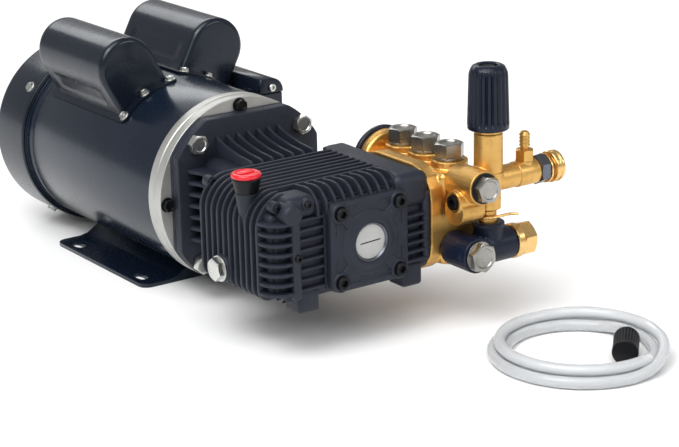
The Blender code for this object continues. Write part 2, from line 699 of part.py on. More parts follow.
def build_crank_train():
    """Hollow eccentric crankshaft, its bearings, connecting rods and plungers."""
    shaft = rod("hollow_end", at(0, -0.150, 0), at(0, -0.2175, 0), 0.0138, segments=20)
    core = rod("crank_core", at(0, -0.210, 0), at(0, -0.3118, 0), 0.0098, segments=16)
    join(shaft, core)
    for index, y in enumerate(CYLINDER_YS):
        x, z = throw_center(index)
        join(shaft, rod("throw", at(x, y + 0.00775, z), at(x, y - 0.00775, z), THROW_RADIUS, segments=20))
    cut(shaft, rod("hollow", at(0, -0.148, 0), at(0, -0.190, 0), 0.0084, segments=16))
    part(shaft, "crankshaft", "steel")

    for name, inner, outer, front, back in (
            ("crank_bearing_rear", 0.0141, 0.0232, -0.2133, -0.2013),
            ("crank_bearing_front", 0.0101, 0.0180, -0.3117, -0.3052)):
        ring = along_y(name, [(outer, -front), (outer, -back), (inner, -back), (inner, -front)], 20,
                       closed=True)
        part(ring, name, "steel")

    for index, y in enumerate(CYLINDER_YS):
        x, z = throw_center(index)
        center = at(x, y, z)
        half = 0.0070
        big_end = rod("big_end", center + Vector((0, half, 0)), center - Vector((0, half, 0)), 0.0215,
                      segments=20)
        arm = box("arm", center + Vector((0.015, -0.005, -0.004)), center + Vector((ROD_REACH, 0.005, 0.004)))
        eye = rod("eye", center + Vector((ROD_REACH, half, 0)), center + Vector((ROD_REACH, -half, 0)), 0.005,
                  segments=10)
        join(big_end, arm, eye)
        bore = THROW_RADIUS + 2 * GAP
        cut(big_end, rod("big_end_bore", center + Vector((0, 0.010, 0)), center - Vector((0, 0.010, 0)), bore,
                         segments=20))
        part(big_end, "connecting_rod_%d" % (index + 1), "machined_aluminium")

        face = CROSSHEAD_X + x
        plunger = turned(
            "plunger",
            [(0, face + 0.055), (PLUNGER_RADIUS, face + 0.055), (PLUNGER_RADIUS, face + 0.0122),
             (CROSSHEAD_RADIUS, face + 0.0122), (CROSSHEAD_RADIUS, face), (0, face)],
            at(0, y, 0), (1, 0, 0), 16)
        part(plunger, "plunger_%d" % (index + 1), "ceramic")


# ---------------------------------------------------------------- brass head and fittings
def build_head():
    """Brass head with valve caps and the black end cap."""
    left = CASE_RIGHT_X + GAP
    head = plate_yz("head_flange", rounded((HEAD_FRONT_Y, -0.044), (HEAD_BACK_Y, 0.046), 0.026, 4), (left,
                                                                                                     0.078))
    block = box("head_block", at(0.076, HEAD_FRONT_Y, -0.038), at(0.112, HEAD_BACK_Y, 0.040))
    join(head, bevel(block, 0.003))
    for y in CYLINDER_YS:
        join(head, rod("valve_boss", at(VALVE_X, y, -0.041), at(VALVE_X, y, HEAD_TOP), 0.0156, segments=20))
        cut(head, rod("plunger_chamber", at(left - 0.002, y, 0), at(0.1085, y, 0),
                      PLUNGER_RADIUS + 2 * GAP, segments=16))
        cut(head, rod("cap_thread", at(VALVE_X, y, 0.035), at(VALVE_X, y, 0.050), 0.0085, segments=12))
    part(head, "manifold_head", "brass")

    for index, y in enumerate(CYLINDER_YS):
        hex_screw(
            "valve_cap_%d" % (index + 1), at(VALVE_X, y, HEAD_TOP + GAP), at(VALVE_X, y, 0.060), 0.022,
            at(VALVE_X, y, 0.037), 0.0080, "nickel_plated")

    cap_front = HEAD_BACK_Y + GAP
    cap = turned(
        "cap",
        [(0, -cap_front), (0.0280, -cap_front), (0.0302, -cap_front - 0.003), (0.0302, -cap_front - 0.008),
         (0.0270, -cap_front - 0.0115), (0, -cap_front - 0.013)],
        Vector((0.0950, 0, SHAFT_Z + 0.0265)), (0, -1, 0), 24)
    part(cap, "head_end_cap", "black_plastic")


def build_unloader():
    """Brass unloader body, pressure knob, adjuster spindle and plugs."""
    start_y = HEAD_FRONT_Y - GAP
    body = rod("barrel", at(BARREL_X, start_y, BARREL_Z), at(BARREL_X, BARREL_FRONT_Y, BARREL_Z),
               BARREL_RADIUS,
               segments=28)
    column = turned(
        "column",
        [(0, TOWER_TOP), (0.0106, TOWER_TOP), (0.0106, 0.0742), (0.0119, 0.0730), (0.0119, 0.0380),
         (0.0105, 0.0300), (0.0105, 0.0100), (0.0070, 0.0090), (0.0070, -0.0060), (0, -0.0060)],
        at(COLUMN_X, COLUMN_Y, 0), (0, 0, 1), 28)
    injector = rod("injector", at(COLUMN_X, COLUMN_Y, INJECTOR_Z), at(INJECTOR_END_X, COLUMN_Y, INJECTOR_Z),
                   INJECTOR_RADIUS, segments=24)
    port = rod("port", at(0.0735, COLUMN_Y, 0.021), at(0.100, COLUMN_Y, 0.021), 0.0093, segments=16)
    lower = rod("return_boss", at(0.0755, -0.3305, 0.0130), at(0.0985, -0.3305, 0.0130), 0.0122, segments=20)
    join(body, column, injector, port, lower)
    cut(body, rod("spindle_bore", at(COLUMN_X, COLUMN_Y, 0.036), at(COLUMN_X, COLUMN_Y, 0.080), 0.0092,
                  segments=16))
    cut(body, rod("plug_bore", at(BARREL_X, -0.3395, BARREL_Z), at(BARREL_X, -0.352, BARREL_Z), 0.0085,
                  segments=12))
    cut(body, rod("barb_bore", at(BARB_X, COLUMN_Y, 0.0372), at(BARB_X, COLUMN_Y, 0.050), 0.0043,
                  segments=10))
    cut(body, rod("outlet_bore", at(0.1535, COLUMN_Y, INJECTOR_Z), at(0.165, COLUMN_Y, INJECTOR_Z), 0.0077,
                  segments=16))
    cut(body, rod("port_bore", at(0.070, COLUMN_Y, 0.021), at(0.0835, COLUMN_Y, 0.021), 0.0065, segments=12))
    part(body, "unloader_body", "brass")

    bottom = TOWER_TOP + GAP
    knob = turned(
        "knob",
        [(0, 0.1268), (0.0075, 0.1268), (0.0088, KNOB_TOP), (0.0120, 0.1297), (0.0147, 0.1272),
         (0.0160, 0.1225), (0.0173, 0.0800), (0.0169, bottom), (0.0095, bottom), (0.0095, 0.1120), (0,
                                                                                                    0.1120)],
        at(COLUMN_X, COLUMN_Y, 0), (0, 0, 1), 28)
    part(knob, "pressure_knob", "black_plastic", smooth=False)

    spindle = turned(
        "spindle",
        [(0, 0.1100), (0.0060, 0.1100), (0.0060, 0.0520), (0.0087, 0.0520), (0.0087, 0.0440), (0, 0.0440)],
        at(COLUMN_X, COLUMN_Y, 0), (0, 0, 1), 12)
    part(spindle, "adjuster_spindle", "steel")

    washer_y = BARREL_FRONT_Y - 0.0015
    hex_screw(
        "unloader_plug", at(BARREL_X, washer_y, BARREL_Z), at(BARREL_X, washer_y - 0.0070, BARREL_Z), 0.020,
        at(BARREL_X, -0.3405, BARREL_Z), 0.0080, "nickel_plated")
    plug = rod("port_plug", at(0.0715, COLUMN_Y, 0.021), at(0.0830, COLUMN_Y, 0.021), 0.0060, segments=12)
    cut(plug, hexagon("port_socket", at(0.070, COLUMN_Y, 0.021), at(0.0755, COLUMN_Y, 0.021), 0.0058))
    part(plug, "thermal_plug", "black_oxide")


def build_outlet():
    """Injector barb, hexagon ring and quick coupler."""
    base_low = 0.0436
    base = hexagon("barb_base", at(BARB_X, COLUMN_Y, base_low), at(BARB_X, COLUMN_Y, 0.0530), 0.014)
    profile = [(0, 0.0680), (0.0030, 0.0680)]
    for ridge in range(4):
        top = 0.0665 - 0.0030 * ridge
        profile += [(0.0047, top - 0.0014), (0.0036, top - 0.0018)]
    profile += [(0.0036, 0.0378), (0, 0.0378)]
    barb = turned("barb", profile, at(BARB_X, COLUMN_Y, 0), (0, 0, 1), 14)
    join(base, barb)
    cut(base, rod("barb_hole", at(BARB_X, COLUMN_Y, 0.050), at(BARB_X, COLUMN_Y, 0.072), 0.0020, segments=8))
    part(base, "injector_barb", "brass")

    nut_start = INJECTOR_END_X + GAP
    nut_end = OUTLET_NUT_END_X
    ring = hexagon("ring", at(nut_start, COLUMN_Y, INJECTOR_Z), at(nut_end, COLUMN_Y, INJECTOR_Z), 0.022)
    bevel(ring, 0.0008, angle=70)
    cut(ring, rod("ring_bore", at(0.156, COLUMN_Y, INJECTOR_Z), at(0.171, COLUMN_Y, INJECTOR_Z), 0.0079,
                  segments=16))
    part(ring, "outlet_nut", "grey_steel")

    fitting = turned(
        "fitting",
        [(0.0062, 0.1817), (0.0092, 0.1817), (0.0092, 0.1702), (0.0124, 0.1702), (0.0124, nut_end + GAP),
         (0.0072, nut_end + GAP), (0.0072, 0.1540), (0.0035, 0.1540), (0.0035, 0.1660), (0.0062, 0.1660)],
        at(0, COLUMN_Y, INJECTOR_Z), (1, 0, 0), 20, closed=True)
    part(fitting, "coupler_body", "bright_brass")

    sleeve = turned(
        "sleeve",
        [(0.0096, COUPLER_END_X), (0.0122, COUPLER_END_X), (0.0133, 0.1817), (0.0133, 0.1795),
         (0.0122, 0.1788), (0.0122, 0.1764), (0.0133, 0.1757), (0.0133, 0.1743), (0.0127, 0.1735),
         (0.0096, 0.1735)],
        at(0, COLUMN_Y, INJECTOR_Z), (1, 0, 0), 24, closed=True)
    part(sleeve, "coupler_sleeve", "bright_brass")


def build_inlet():
    """Black inlet elbow, its plug, the brass swivel nut and the spring clip."""
    start_y = HEAD_FRONT_Y - GAP
    elbow = rod("inlet_barrel", at(INLET_X, start_y, INLET_Z), at(INLET_X, INLET_FRONT_Y, INLET_Z),
                INLET_RADIUS,
                segments=24)
    pipe = rod("inlet_pipe", at(COLUMN_X, COLUMN_Y, INLET_Z), at(COLUMN_X, COLUMN_Y, -0.0015), 0.0122,
               segments=20)
    branch = turned(
        "inlet_branch",
        [(0, 0.1395), (0.0088, 0.1395), (0.0088, 0.1318), (0.0140, 0.1315), (0.0140, 0.1000), (0, 0.1000)],
        at(0, COLUMN_Y, INLET_Z), (1, 0, 0), 24)
    join(elbow, pipe, branch)
    cut(elbow, rod("clip_socket", at(COLUMN_X, COLUMN_Y, -0.0085), at(COLUMN_X, COLUMN_Y, 0.002), 0.0075,
                   segments=16))
    cut(elbow, rod("inlet_bore", at(0.108, COLUMN_Y, INLET_Z), at(0.142, COLUMN_Y, INLET_Z), 0.0065,
                   segments=12))
    cut(elbow, rod("plug_thread", at(INLET_X, -0.337, INLET_Z), at(INLET_X, -0.350, INLET_Z), 0.0085,
                   segments=12))
    part(elbow, "inlet_elbow", "black_plastic")

    face = INLET_FRONT_Y - GAP
    hex_screw(
        "elbow_plug", at(INLET_X, face, INLET_Z), at(INLET_X, face - 0.0080, INLET_Z), 0.022,
        at(INLET_X, -0.338, INLET_Z), 0.0080, "nickel_plated")

    nut = hexagon("nut", at(0.1385, COLUMN_Y, INLET_Z), at(NUT_END_X, COLUMN_Y, INLET_Z), NUT_ACROSS_FLATS)
    collar = rod("collar", at(NUT_START_X, COLUMN_Y, INLET_Z), at(0.140, COLUMN_Y, INLET_Z), 0.0146,
                 segments=24)
    join(bevel(nut, 0.001, angle=70), collar)
    cut(nut, rod("nut_bore", at(0.1400, COLUMN_Y, INLET_Z), at(0.156, COLUMN_Y, INLET_Z), 0.0105,
                 segments=20))
    cut(nut, rod("nut_neck", at(0.130, COLUMN_Y, INLET_Z), at(0.142, COLUMN_Y, INLET_Z), 0.0092, segments=20))
    part(nut, "swivel_nut", "bright_brass")

    curve = bpy.data.curves.new("clip_path", "CURVE")
    curve.dimensions = "3D"
    curve.bevel_depth = 0.0012
    curve.bevel_resolution = 1
    curve.use_fill_caps = True
    bend = arc((COLUMN_X, COLUMN_Y), 0.0090, 90, 270, 6)
    path = [(0.131, COLUMN_Y + 0.0135), (0.125, COLUMN_Y + 0.0090)] + bend
    path += [(0.125, COLUMN_Y - 0.0090), (0.131, COLUMN_Y - 0.0135)]
    spline = curve.splines.new("POLY")
    spline.points.add(len(path) - 1)
    for point, (x, y) in zip(spline.points, path):
        point.co = (x, y, SHAFT_Z + 0.0038, 1.0)
    clip = bpy.data.objects.new("u_clip", curve)
    collection(PARTS).objects.link(clip)
    curve.materials.append(finish("zinc_plated"))


# ---------------------------------------------------------------- suction hose
def build_hose():
    """Coil of clear hose on the floor, its lead to the strainer, and the strainer."""
    coil = turned(
        "coil",
        [(COIL_OUTER - 0.003, COIL_TOP), (COIL_OUTER, COIL_TOP - 0.003), (COIL_OUTER, 0.0033),
         (COIL_OUTER - 0.003, GAP), (COIL_INNER + 0.003, GAP), (COIL_INNER, 0.0033),
         (COIL_INNER, COIL_TOP - 0.003), (COIL_INNER + 0.003, COIL_TOP)],
        (HOSE_X, HOSE_Y, 0), (0, 0, 1), 28, closed=True)
    part(coil, "hose_coil", "clear_vinyl")

    along = Vector((1, 1, 0)).normalized()
    outward = Vector((1, -1, 0)).normalized()
    middle = Vector((HOSE_X, HOSE_Y, FILTER_RADIUS + GAP)) + outward * FILTER_OFFSET
    tail = middle - along * FILTER_LENGTH / 2
    nose = middle + along * FILTER_LENGTH / 2
    strainer = rod("strainer", tail, nose, FILTER_RADIUS, segments=20)
    nut_end = nose + along * 0.009
    join(bevel(strainer, 0.001), hexagon("strainer_nut", nose - along * 0.002, nut_end, 0.012))
    part(strainer, "suction_filter", "black_plastic")

    curve = bpy.data.curves.new("hose_lead", "CURVE")
    curve.dimensions = "3D"
    curve.bevel_depth = HOSE_RADIUS
    curve.bevel_resolution = 2
    curve.use_fill_caps = True
    route = [
        nut_end + along * GAP,
        nut_end + along * 0.0035,
        nut_end + along * 0.0058 - outward * 0.0004,
    ]
    spline = curve.splines.new("POLY")
    spline.points.add(len(route) - 1)
    for point, place in zip(spline.points, route):
        point.co = (*place, 1.0)
    lead = bpy.data.objects.new("hose_lead", curve)
    collection(PARTS).objects.link(lead)
    curve.materials.append(finish("clear_vinyl"))


def main():
    """Build the whole pump."""
    clear_scene()
    collection(PARTS)
    collection(CUTTERS)
    build_motor_case()
    build_rotor()
    build_foot()
    build_capacitor("start_capacitor", -CAPACITOR_ANGLE, START_COVER_FRONT_Y)
    build_capacitor("run_capacitor", CAPACITOR_ANGLE, RUN_COVER_FRONT_Y)
    build_conduit_box()
    build_adaptor()
    build_crankcase()
    build_cover()
    build_oil_fittings()
    build_crank_train()
    build_head()
    build_unloader()
    build_outlet()
    build_inlet()
    build_hose()


main()
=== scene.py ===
"""Looks of a foot-mounted electric pressure washer pump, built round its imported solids.

Metres, +Z up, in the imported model's own frame: the motor's shaft runs along Y with the pump at -Y,
and the brass head stands at +X.
"""

import json
import logging
import math
from dataclasses import dataclass
from enum import Enum
from typing import Any, Callable, Optional, Sequence, Union

import bmesh
import bpy
from mathutils import Matrix, Vector

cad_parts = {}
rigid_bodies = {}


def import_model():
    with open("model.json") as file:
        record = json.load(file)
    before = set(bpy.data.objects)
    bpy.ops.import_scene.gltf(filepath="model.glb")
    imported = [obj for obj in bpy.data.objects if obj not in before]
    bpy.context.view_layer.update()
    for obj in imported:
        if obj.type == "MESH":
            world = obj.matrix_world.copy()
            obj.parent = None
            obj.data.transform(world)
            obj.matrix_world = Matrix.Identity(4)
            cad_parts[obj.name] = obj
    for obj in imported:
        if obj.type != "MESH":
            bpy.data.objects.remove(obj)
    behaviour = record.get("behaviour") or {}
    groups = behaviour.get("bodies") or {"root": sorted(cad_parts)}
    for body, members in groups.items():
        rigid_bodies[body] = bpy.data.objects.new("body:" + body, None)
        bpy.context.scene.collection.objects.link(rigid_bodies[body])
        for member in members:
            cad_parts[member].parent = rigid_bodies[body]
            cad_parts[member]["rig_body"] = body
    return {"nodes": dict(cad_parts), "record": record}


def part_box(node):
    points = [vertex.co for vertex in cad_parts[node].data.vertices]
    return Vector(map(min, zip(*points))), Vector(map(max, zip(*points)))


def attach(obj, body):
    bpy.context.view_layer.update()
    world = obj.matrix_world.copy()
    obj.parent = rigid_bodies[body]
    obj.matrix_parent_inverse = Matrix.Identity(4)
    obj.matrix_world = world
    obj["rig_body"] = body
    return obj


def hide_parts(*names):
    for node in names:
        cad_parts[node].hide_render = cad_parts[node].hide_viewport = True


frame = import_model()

LOG = logging.getLogger("pump")
Rule = Union[float, Callable[[float], float]]
Ring = tuple[Rule, Rule]
Tone = tuple[float, float, float]
BASE = "base"
REPLACED: set[str] = set()


# ---------------------------------------------------------------- node trees
class Value:
    """A socket that takes part in Python arithmetic."""

    def __init__(self, graph: "Graph", socket: bpy.types.NodeSocket) -> None:
        """Wrap a socket of a graph."""
        self.graph = graph
        self.socket = socket

    def _math(self, operation: str, *terms: Any) -> "Value":
        """Add one Math node and return its result."""
        made = self.graph.node("ShaderNodeMath", {"operation": operation}, dict(enumerate(terms)))
        return Value(self.graph, made.outputs[0])

    def __add__(self, other: Any) -> "Value":
        """Add."""
        return self._math("ADD", self, other)

    __radd__ = __add__

    def __sub__(self, other: Any) -> "Value":
        """Take away."""
        return self._math("SUBTRACT", self, other)

    def __rsub__(self, other: Any) -> "Value":
        """Take away from a number."""
        return self._math("SUBTRACT", other, self)

    def __mul__(self, other: Any) -> "Value":
        """Multiply."""
        return self._math("MULTIPLY", self, other)

    __rmul__ = __mul__

    def __truediv__(self, other: Any) -> "Value":
        """Divide."""
        return self._math("DIVIDE", self, other)

    def __pow__(self, power: Any) -> "Value":
        """Raise to a power."""
        return self._math("POWER", self, power)

    def above(self, edge: float, width: float) -> "Value":
        """Return a soft step from 0 to 1 across an edge.

        Args:
            edge: its middle.
            width: its width.

        Returns:
            The step.
        """
        made = self.graph.node(
            "ShaderNodeMapRange", {"interpolation_type": "SMOOTHSTEP"},
            {"Value": self, "From Min": edge - width / 2, "From Max": edge + width / 2})
        return Value(self.graph, made.outputs[0])

    def cosine(self) -> "Value":
        """Return the cosine."""
        return self._math("COSINE", self)


class Graph:
    """A node tree, written one node at a time."""

    def __init__(self, tree: bpy.types.NodeTree) -> None:
        """Start from a tree."""
        self.tree = tree

    def node(self, kind: str, settings: Optional[dict] = None,
             inputs: Optional[dict] = None) -> bpy.types.Node:
        """Add a node.

        Args:
            kind: the node's type.
            settings: its properties, and "stops" for a ramp.
            inputs: values or links, by socket name or number.

        Returns:
            The new node.
        """
        made = self.tree.nodes.new(kind)
        for key, value in (settings or {}).items():
            if key == "stops":
                ramp = made.color_ramp.elements
                while len(ramp) < len(value):
                    ramp.new(0.5)
                for stop, (position, color) in zip(ramp, value):
                    stop.position = position
                    stop.color = (*color, 1.0)
            else:
                setattr(made, key, value)
        for key, value in (inputs or {}).items():
            socket = made.inputs[key]
            if isinstance(value, Value):
                self.tree.links.new(value.socket, socket)
            elif isinstance(value, bpy.types.NodeSocket):
                self.tree.links.new(value, socket)
            elif socket.type == "RGBA" and len(value) == 3:
                socket.default_value = (*value, 1.0)
            else:
                socket.default_value = value
        return made

    def value(self, kind: str, output: Union[int, str], settings: Optional[dict] = None,
              inputs: Optional[dict] = None) -> Value:
        """Add a node and return one of its outputs as a value."""
        return Value(self, self.node(kind, settings, inputs).outputs[output])


def srgb(red: int, green: int, blue: int) -> Tone:
    """Return a linear colour from screen levels of 0 to 255."""
    levels = [level / 255 for level in (red, green, blue)]
    return tuple(v / 12.92 if v <= 0.04045 else ((v + 0.055) / 1.055) ** 2.4 for v in levels)


class Paint:
    """Writes one material."""

    def __init__(self, name: str) -> None:
        """Make the material with its shader and output.

        Args:
            name: the material's name.
        """
        self.material = bpy.data.materials.new(name)
        self.material.use_nodes = True
        tree = self.material.node_tree
        tree.nodes.clear()
        self.graph = Graph(tree)
        self.shader = self.graph.node("ShaderNodeBsdfPrincipled")
        self.graph.node("ShaderNodeOutputMaterial", inputs={"Surface": self.shader.outputs[0]})
        self.place = self.graph.node("ShaderNodeTexCoord").outputs["Object"]

    def constant(self, **sockets: float) -> None:
        """Set the shader's own sockets, underscores standing for spaces."""
        for name, value in sockets.items():
            self.shader.inputs[name.replace("_", " ")].default_value = value

    def link(self, name: str, value: Union[Value, bpy.types.NodeSocket]) -> None:
        """Feed one of the shader's sockets."""
        source = value.socket if isinstance(value, Value) else value
        self.graph.tree.links.new(source, self.shader.inputs[name])

    def stretched(self, stretch: Sequence[float]) -> bpy.types.NodeSocket:
        """Return the place, scaled along each axis."""
        return self.graph.node("ShaderNodeMapping", inputs={"Vector": self.place,
                                                            "Scale": stretch}).outputs[0]

    def noise(self, scale: float, detail: float = 3.0, roughness: float = 0.55,
              stretch: Sequence[float] = (1, 1, 1)) -> Value:
        """Return fractal noise, its scale in features per metre."""
        return self.graph.value("ShaderNodeTexNoise", 0, None, {
            "Vector": self.stretched(stretch), "Scale": scale, "Detail": detail, "Roughness": roughness})

    def blend(self, factor: Any, first: Any, second: Any) -> bpy.types.NodeSocket:
        """Mix two colours."""
        made = self.graph.node("ShaderNodeMix", {"data_type": "RGBA"}, {0: factor, 6: first, 7: second})
        return made.outputs[2]

    def bump(self, height: Any, depth: float, strength: float = 1.0) -> None:
        """Feed the shader's normal from a height of 0 to 1 and its depth in metres.

        Args:
            height: the height, 0 to 1.
            depth: what 1 stands for, in metres.
            strength: how strong.
        """
        made = self.graph.node("ShaderNodeBump", None, {"Strength": strength, "Distance": depth,
                                                        "Height": height})
        self.graph.tree.links.new(made.outputs[0], self.shader.inputs["Normal"])


# ---------------------------------------------------------------- finishes
@dataclass(frozen=True)
class Finish:
    """A surface finish that writes its own material."""

    name: str
    tone: Tone
    shade: Tone
    roughness: float = 0.4

    def material(self) -> bpy.types.Material:
        """Return the finish's material, written the first time it is asked for.

        Returns:
            The material.
        """
        found = bpy.data.materials.get(self.name)
        if found is not None:
            return found
        paint = Paint(self.name)
        self.write(paint)
        return paint.material

    def write(self, paint: Paint) -> None:
        """Write the shader."""
        raise NotImplementedError


@dataclass(frozen=True)
class Enamel(Finish):
    """Sprayed gloss paint with a little orange peel, dust and fine scratches."""

    coat: float = 0.22

    def write(self, paint: Paint) -> None:
        """Write the shader.

        Args:
            paint: what writes it.
        """
        clouds = paint.noise(26, 2)
        dust = paint.noise(900, 2).above(0.66, 0.10)
        scratches = paint.noise(420, 2, 0.5, (1.0, 0.3, 1.0)).above(0.74, 0.05)
        body = paint.blend(clouds, self.tone, self.shade)
        worn = paint.blend(dust * 0.05 + scratches * 0.04, body, srgb(96, 102, 112))
        paint.link("Base Color", worn)
        paint.link("Roughness", self.roughness + (clouds - 0.5) * 0.10 + dust * 0.16 + scratches * 0.12)
        paint.constant(Metallic=0.0, Coat_Weight=self.coat, Coat_Roughness=0.12, Specular_IOR_Level=0.35)
        paint.shader.inputs["Specular Tint"].default_value = (0.78, 0.90, 1.0, 1.0)
        paint.bump(paint.noise(65, 1), 0.00008)


@dataclass(frozen=True)
class CastPaint(Finish):
    """Satin paint over a grained die casting."""

    grain: float = 1500.0

    def write(self, paint: Paint) -> None:
        """Write the shader.

        Args:
            paint: what writes it.
        """
        clouds = paint.noise(34, 3)
        grain = paint.noise(self.grain, 3, 0.6)
        rubbed = paint.noise(120, 4, 0.65).above(0.63, 0.10)
        body = paint.blend(clouds, self.tone, self.shade)
        paint.link("Base Color", paint.blend(rubbed * 0.22 + grain * 0.10, body, srgb(58, 60, 68)))
        paint.link("Roughness", self.roughness + (clouds - 0.5) * 0.14 + grain * 0.10)
        paint.constant(Metallic=0.0, Specular_IOR_Level=0.34)
        paint.shader.inputs["Specular Tint"].default_value = (0.86, 0.91, 1.0, 1.0)
        paint.bump(grain * 0.8 + paint.noise(300, 2) * 0.6, 0.00028)


@dataclass(frozen=True)
class CastBrass(Finish):
    """Tumbled cast brass with a soft tarnish."""

    grain: float = 1100.0

    def write(self, paint: Paint) -> None:
        """Write the shader.

        Args:
            paint: what writes it.
        """
        clouds = paint.noise(45, 3)
        tarnish = paint.noise(140, 4, 0.62).above(0.60, 0.18)
        grain = paint.noise(self.grain, 3, 0.6)
        body = paint.blend(clouds, self.tone, self.shade)
        paint.link("Base Color", paint.blend(tarnish * 0.30, body, srgb(176, 124, 62)))
        paint.link("Roughness", self.roughness + (clouds - 0.5) * 0.12 + tarnish * 0.12)
        paint.constant(Metallic=1.0)
        paint.bump(grain * 0.7 + paint.noise(260, 2) * 0.7, 0.00020)


class Lay(Enum):
    """The direction that a cutter left its lines across, as the stretch of their noise."""

    ALONG_X = (60.0, 1.0, 1.0)
    ALONG_Y = (1.0, 60.0, 1.0)
    ALONG_Z = (1.0, 1.0, 60.0)
    NONE = (8.0, 8.0, 8.0)


@dataclass(frozen=True)
class BareMetal(Finish):
    """Turned, plated or ground metal with cutter lines, handling marks and stains."""

    lay: Lay = Lay.NONE
    lines: float = 0.5
    metallic: float = 1.0

    def write(self, paint: Paint) -> None:
        """Write the shader.

        Args:
            paint: what writes it.
        """
        clouds = paint.noise(60, 3)
        lines = paint.noise(55, 2, 0.5, self.lay.value)
        marks = paint.noise(420, 4, 0.7).above(0.62, 0.12)
        body = paint.blend(clouds, self.tone, self.shade)
        paint.link("Base Color", paint.blend(marks * 0.20, body, self.shade))
        paint.link("Roughness", self.roughness + (lines - 0.5) * 0.16 + marks * 0.10)
        paint.constant(Metallic=self.metallic)
        paint.bump(lines * self.lines + marks * 0.15, 0.00006)


@dataclass(frozen=True)
class Moulded(Finish):
    """Moulded plastic with a fine spark texture."""

    coat: float = 0.0

    def write(self, paint: Paint) -> None:
        """Write the shader.

        Args:
            paint: what writes it.
        """
        clouds = paint.noise(40, 2)
        spark = paint.noise(2200, 2, 0.6)
        scuffs = paint.noise(240, 3, 0.6, (1.0, 1.0, 0.15)).above(0.68, 0.08)
        body = paint.blend(clouds, self.tone, self.shade)
        paint.link("Base Color", paint.blend(scuffs * 0.18, body, srgb(70, 74, 84)))
        paint.link("Roughness", self.roughness + (clouds - 0.5) * 0.08 + scuffs * 0.15)
        paint.constant(Metallic=0.0, Coat_Weight=self.coat, Coat_Roughness=0.15, Specular_IOR_Level=0.22)
        paint.bump(spark, 0.00010)


@dataclass(frozen=True)
class ClearVinyl(Finish):
    """Clear soft hose, faintly milky."""

    def write(self, paint: Paint) -> None:
        """Write the shader.

        Args:
            paint: what writes it.
        """
        clouds = paint.noise(120, 2)
        body = paint.blend(clouds, self.tone, self.shade)
        paint.link("Base Color", body)
        paint.link("Roughness", self.roughness + (clouds - 0.5) * 0.10)
        paint.constant(Metallic=0.0, Transmission_Weight=0.62, IOR=1.40)
        paint.bump(paint.noise(90, 2), 0.00030)


ENAMEL = Enamel("motor_enamel", srgb(15, 25, 40), srgb(10, 18, 30), 0.24)
COVER_ENAMEL = Enamel("cover_enamel", srgb(13, 20, 33), srgb(9, 14, 25), 0.28)
CHARCOAL = CastPaint("charcoal_casting", srgb(34, 37, 48), srgb(26, 28, 38), 0.40)
RIM = BareMetal("machined_rim", srgb(200, 200, 196), srgb(172, 172, 168), 0.42, Lay.ALONG_Y, 0.5, 0.75)
BRASS = CastBrass("cast_brass", srgb(226, 184, 112), srgb(208, 160, 86), 0.40)
BRIGHT_BRASS = BareMetal("turned_brass", srgb(244, 208, 146), srgb(226, 182, 110), 0.28, Lay.ALONG_X, 0.5)
NICKEL = BareMetal("nickel_plate", srgb(186, 184, 178), srgb(140, 138, 132), 0.30, Lay.NONE, 0.8)
ZINC = BareMetal("zinc_plate", srgb(226, 226, 222), srgb(192, 194, 190), 0.30, Lay.NONE, 0.6)
STEEL = BareMetal("ground_steel", srgb(170, 170, 170), srgb(140, 140, 142), 0.32, Lay.ALONG_Y, 0.5)
OXIDE = BareMetal("blackened_steel", srgb(26, 27, 31), srgb(17, 18, 21), 0.40, Lay.NONE, 0.6, 0.6)
HOOP = BareMetal("dull_hoop", srgb(122, 126, 136), srgb(88, 92, 102), 0.32, Lay.ALONG_X, 0.4)
LAMINATION = BareMetal("lamination_stack", srgb(120, 112, 106), srgb(90, 84, 80), 0.50, Lay.ALONG_Y, 1.0, 0.8)
BLACK_PLASTIC = Moulded("knob_plastic", srgb(17, 25, 42), srgb(12, 18, 31), 0.30, 0.15)
NAVY_PLASTIC = Moulded("navy_plastic", srgb(16, 27, 48), srgb(12, 19, 36), 0.36, 0.1)
SOOT_PLASTIC = Moulded("soot_plastic", srgb(12, 13, 17), srgb(8, 9, 12), 0.42, 0.1)
RED_PLASTIC = Moulded("cap_red_plastic", srgb(222, 36, 48), srgb(204, 24, 38), 0.26, 0.4)
DISC = BareMetal("sight_disc", srgb(196, 196, 194), srgb(172, 172, 170), 0.50, Lay.NONE, 0.3, 0.35)
CERAMIC = Moulded("plunger_ceramic", srgb(236, 232, 222), srgb(226, 222, 210), 0.22, 0.3)
VINYL = ClearVinyl("hose_vinyl", (0.95, 0.96, 0.97), (0.86, 0.88, 0.90), 0.12)

SLOT_FINISHES = {
    "motor_paint": ENAMEL, "cover_paint": COVER_ENAMEL, "machined_aluminium": RIM, "cast_charcoal": CHARCOAL,
    "zinc_plated": ZINC, "nickel_plated": NICKEL, "black_oxide": OXIDE, "brass": BRASS,
    "bright_brass": BRIGHT_BRASS, "black_plastic": BLACK_PLASTIC, "red_plastic": RED_PLASTIC,
    "silver_disc": DISC, "steel": STEEL, "lamination": LAMINATION, "ceramic": CERAMIC, "grey_steel": HOOP,
    "clear_vinyl": VINYL,
}


# ---------------------------------------------------------------- shapes
def aimed(origin: Sequence[float], axis: Sequence[float], turn: float = 0.0) -> Matrix:
    """Return a placement at an origin with its Z along an axis, turned about it by radians."""
    rotation = Vector(axis).to_track_quat("Z", "Y").to_matrix().to_4x4()
    return Matrix.Translation(Vector(origin)) @ rotation @ Matrix.Rotation(turn, 4, "Z")


def arc(center: Sequence[float], radius: float, start: float, end: float,
        steps: int) -> list[tuple[float, float]]:
    """Return points on an arc, its angles in degrees."""
    angles = [math.radians(start + (end - start) * i / steps) for i in range(steps + 1)]
    return [(center[0] + radius * math.cos(a), center[1] + radius * math.sin(a)) for a in angles]


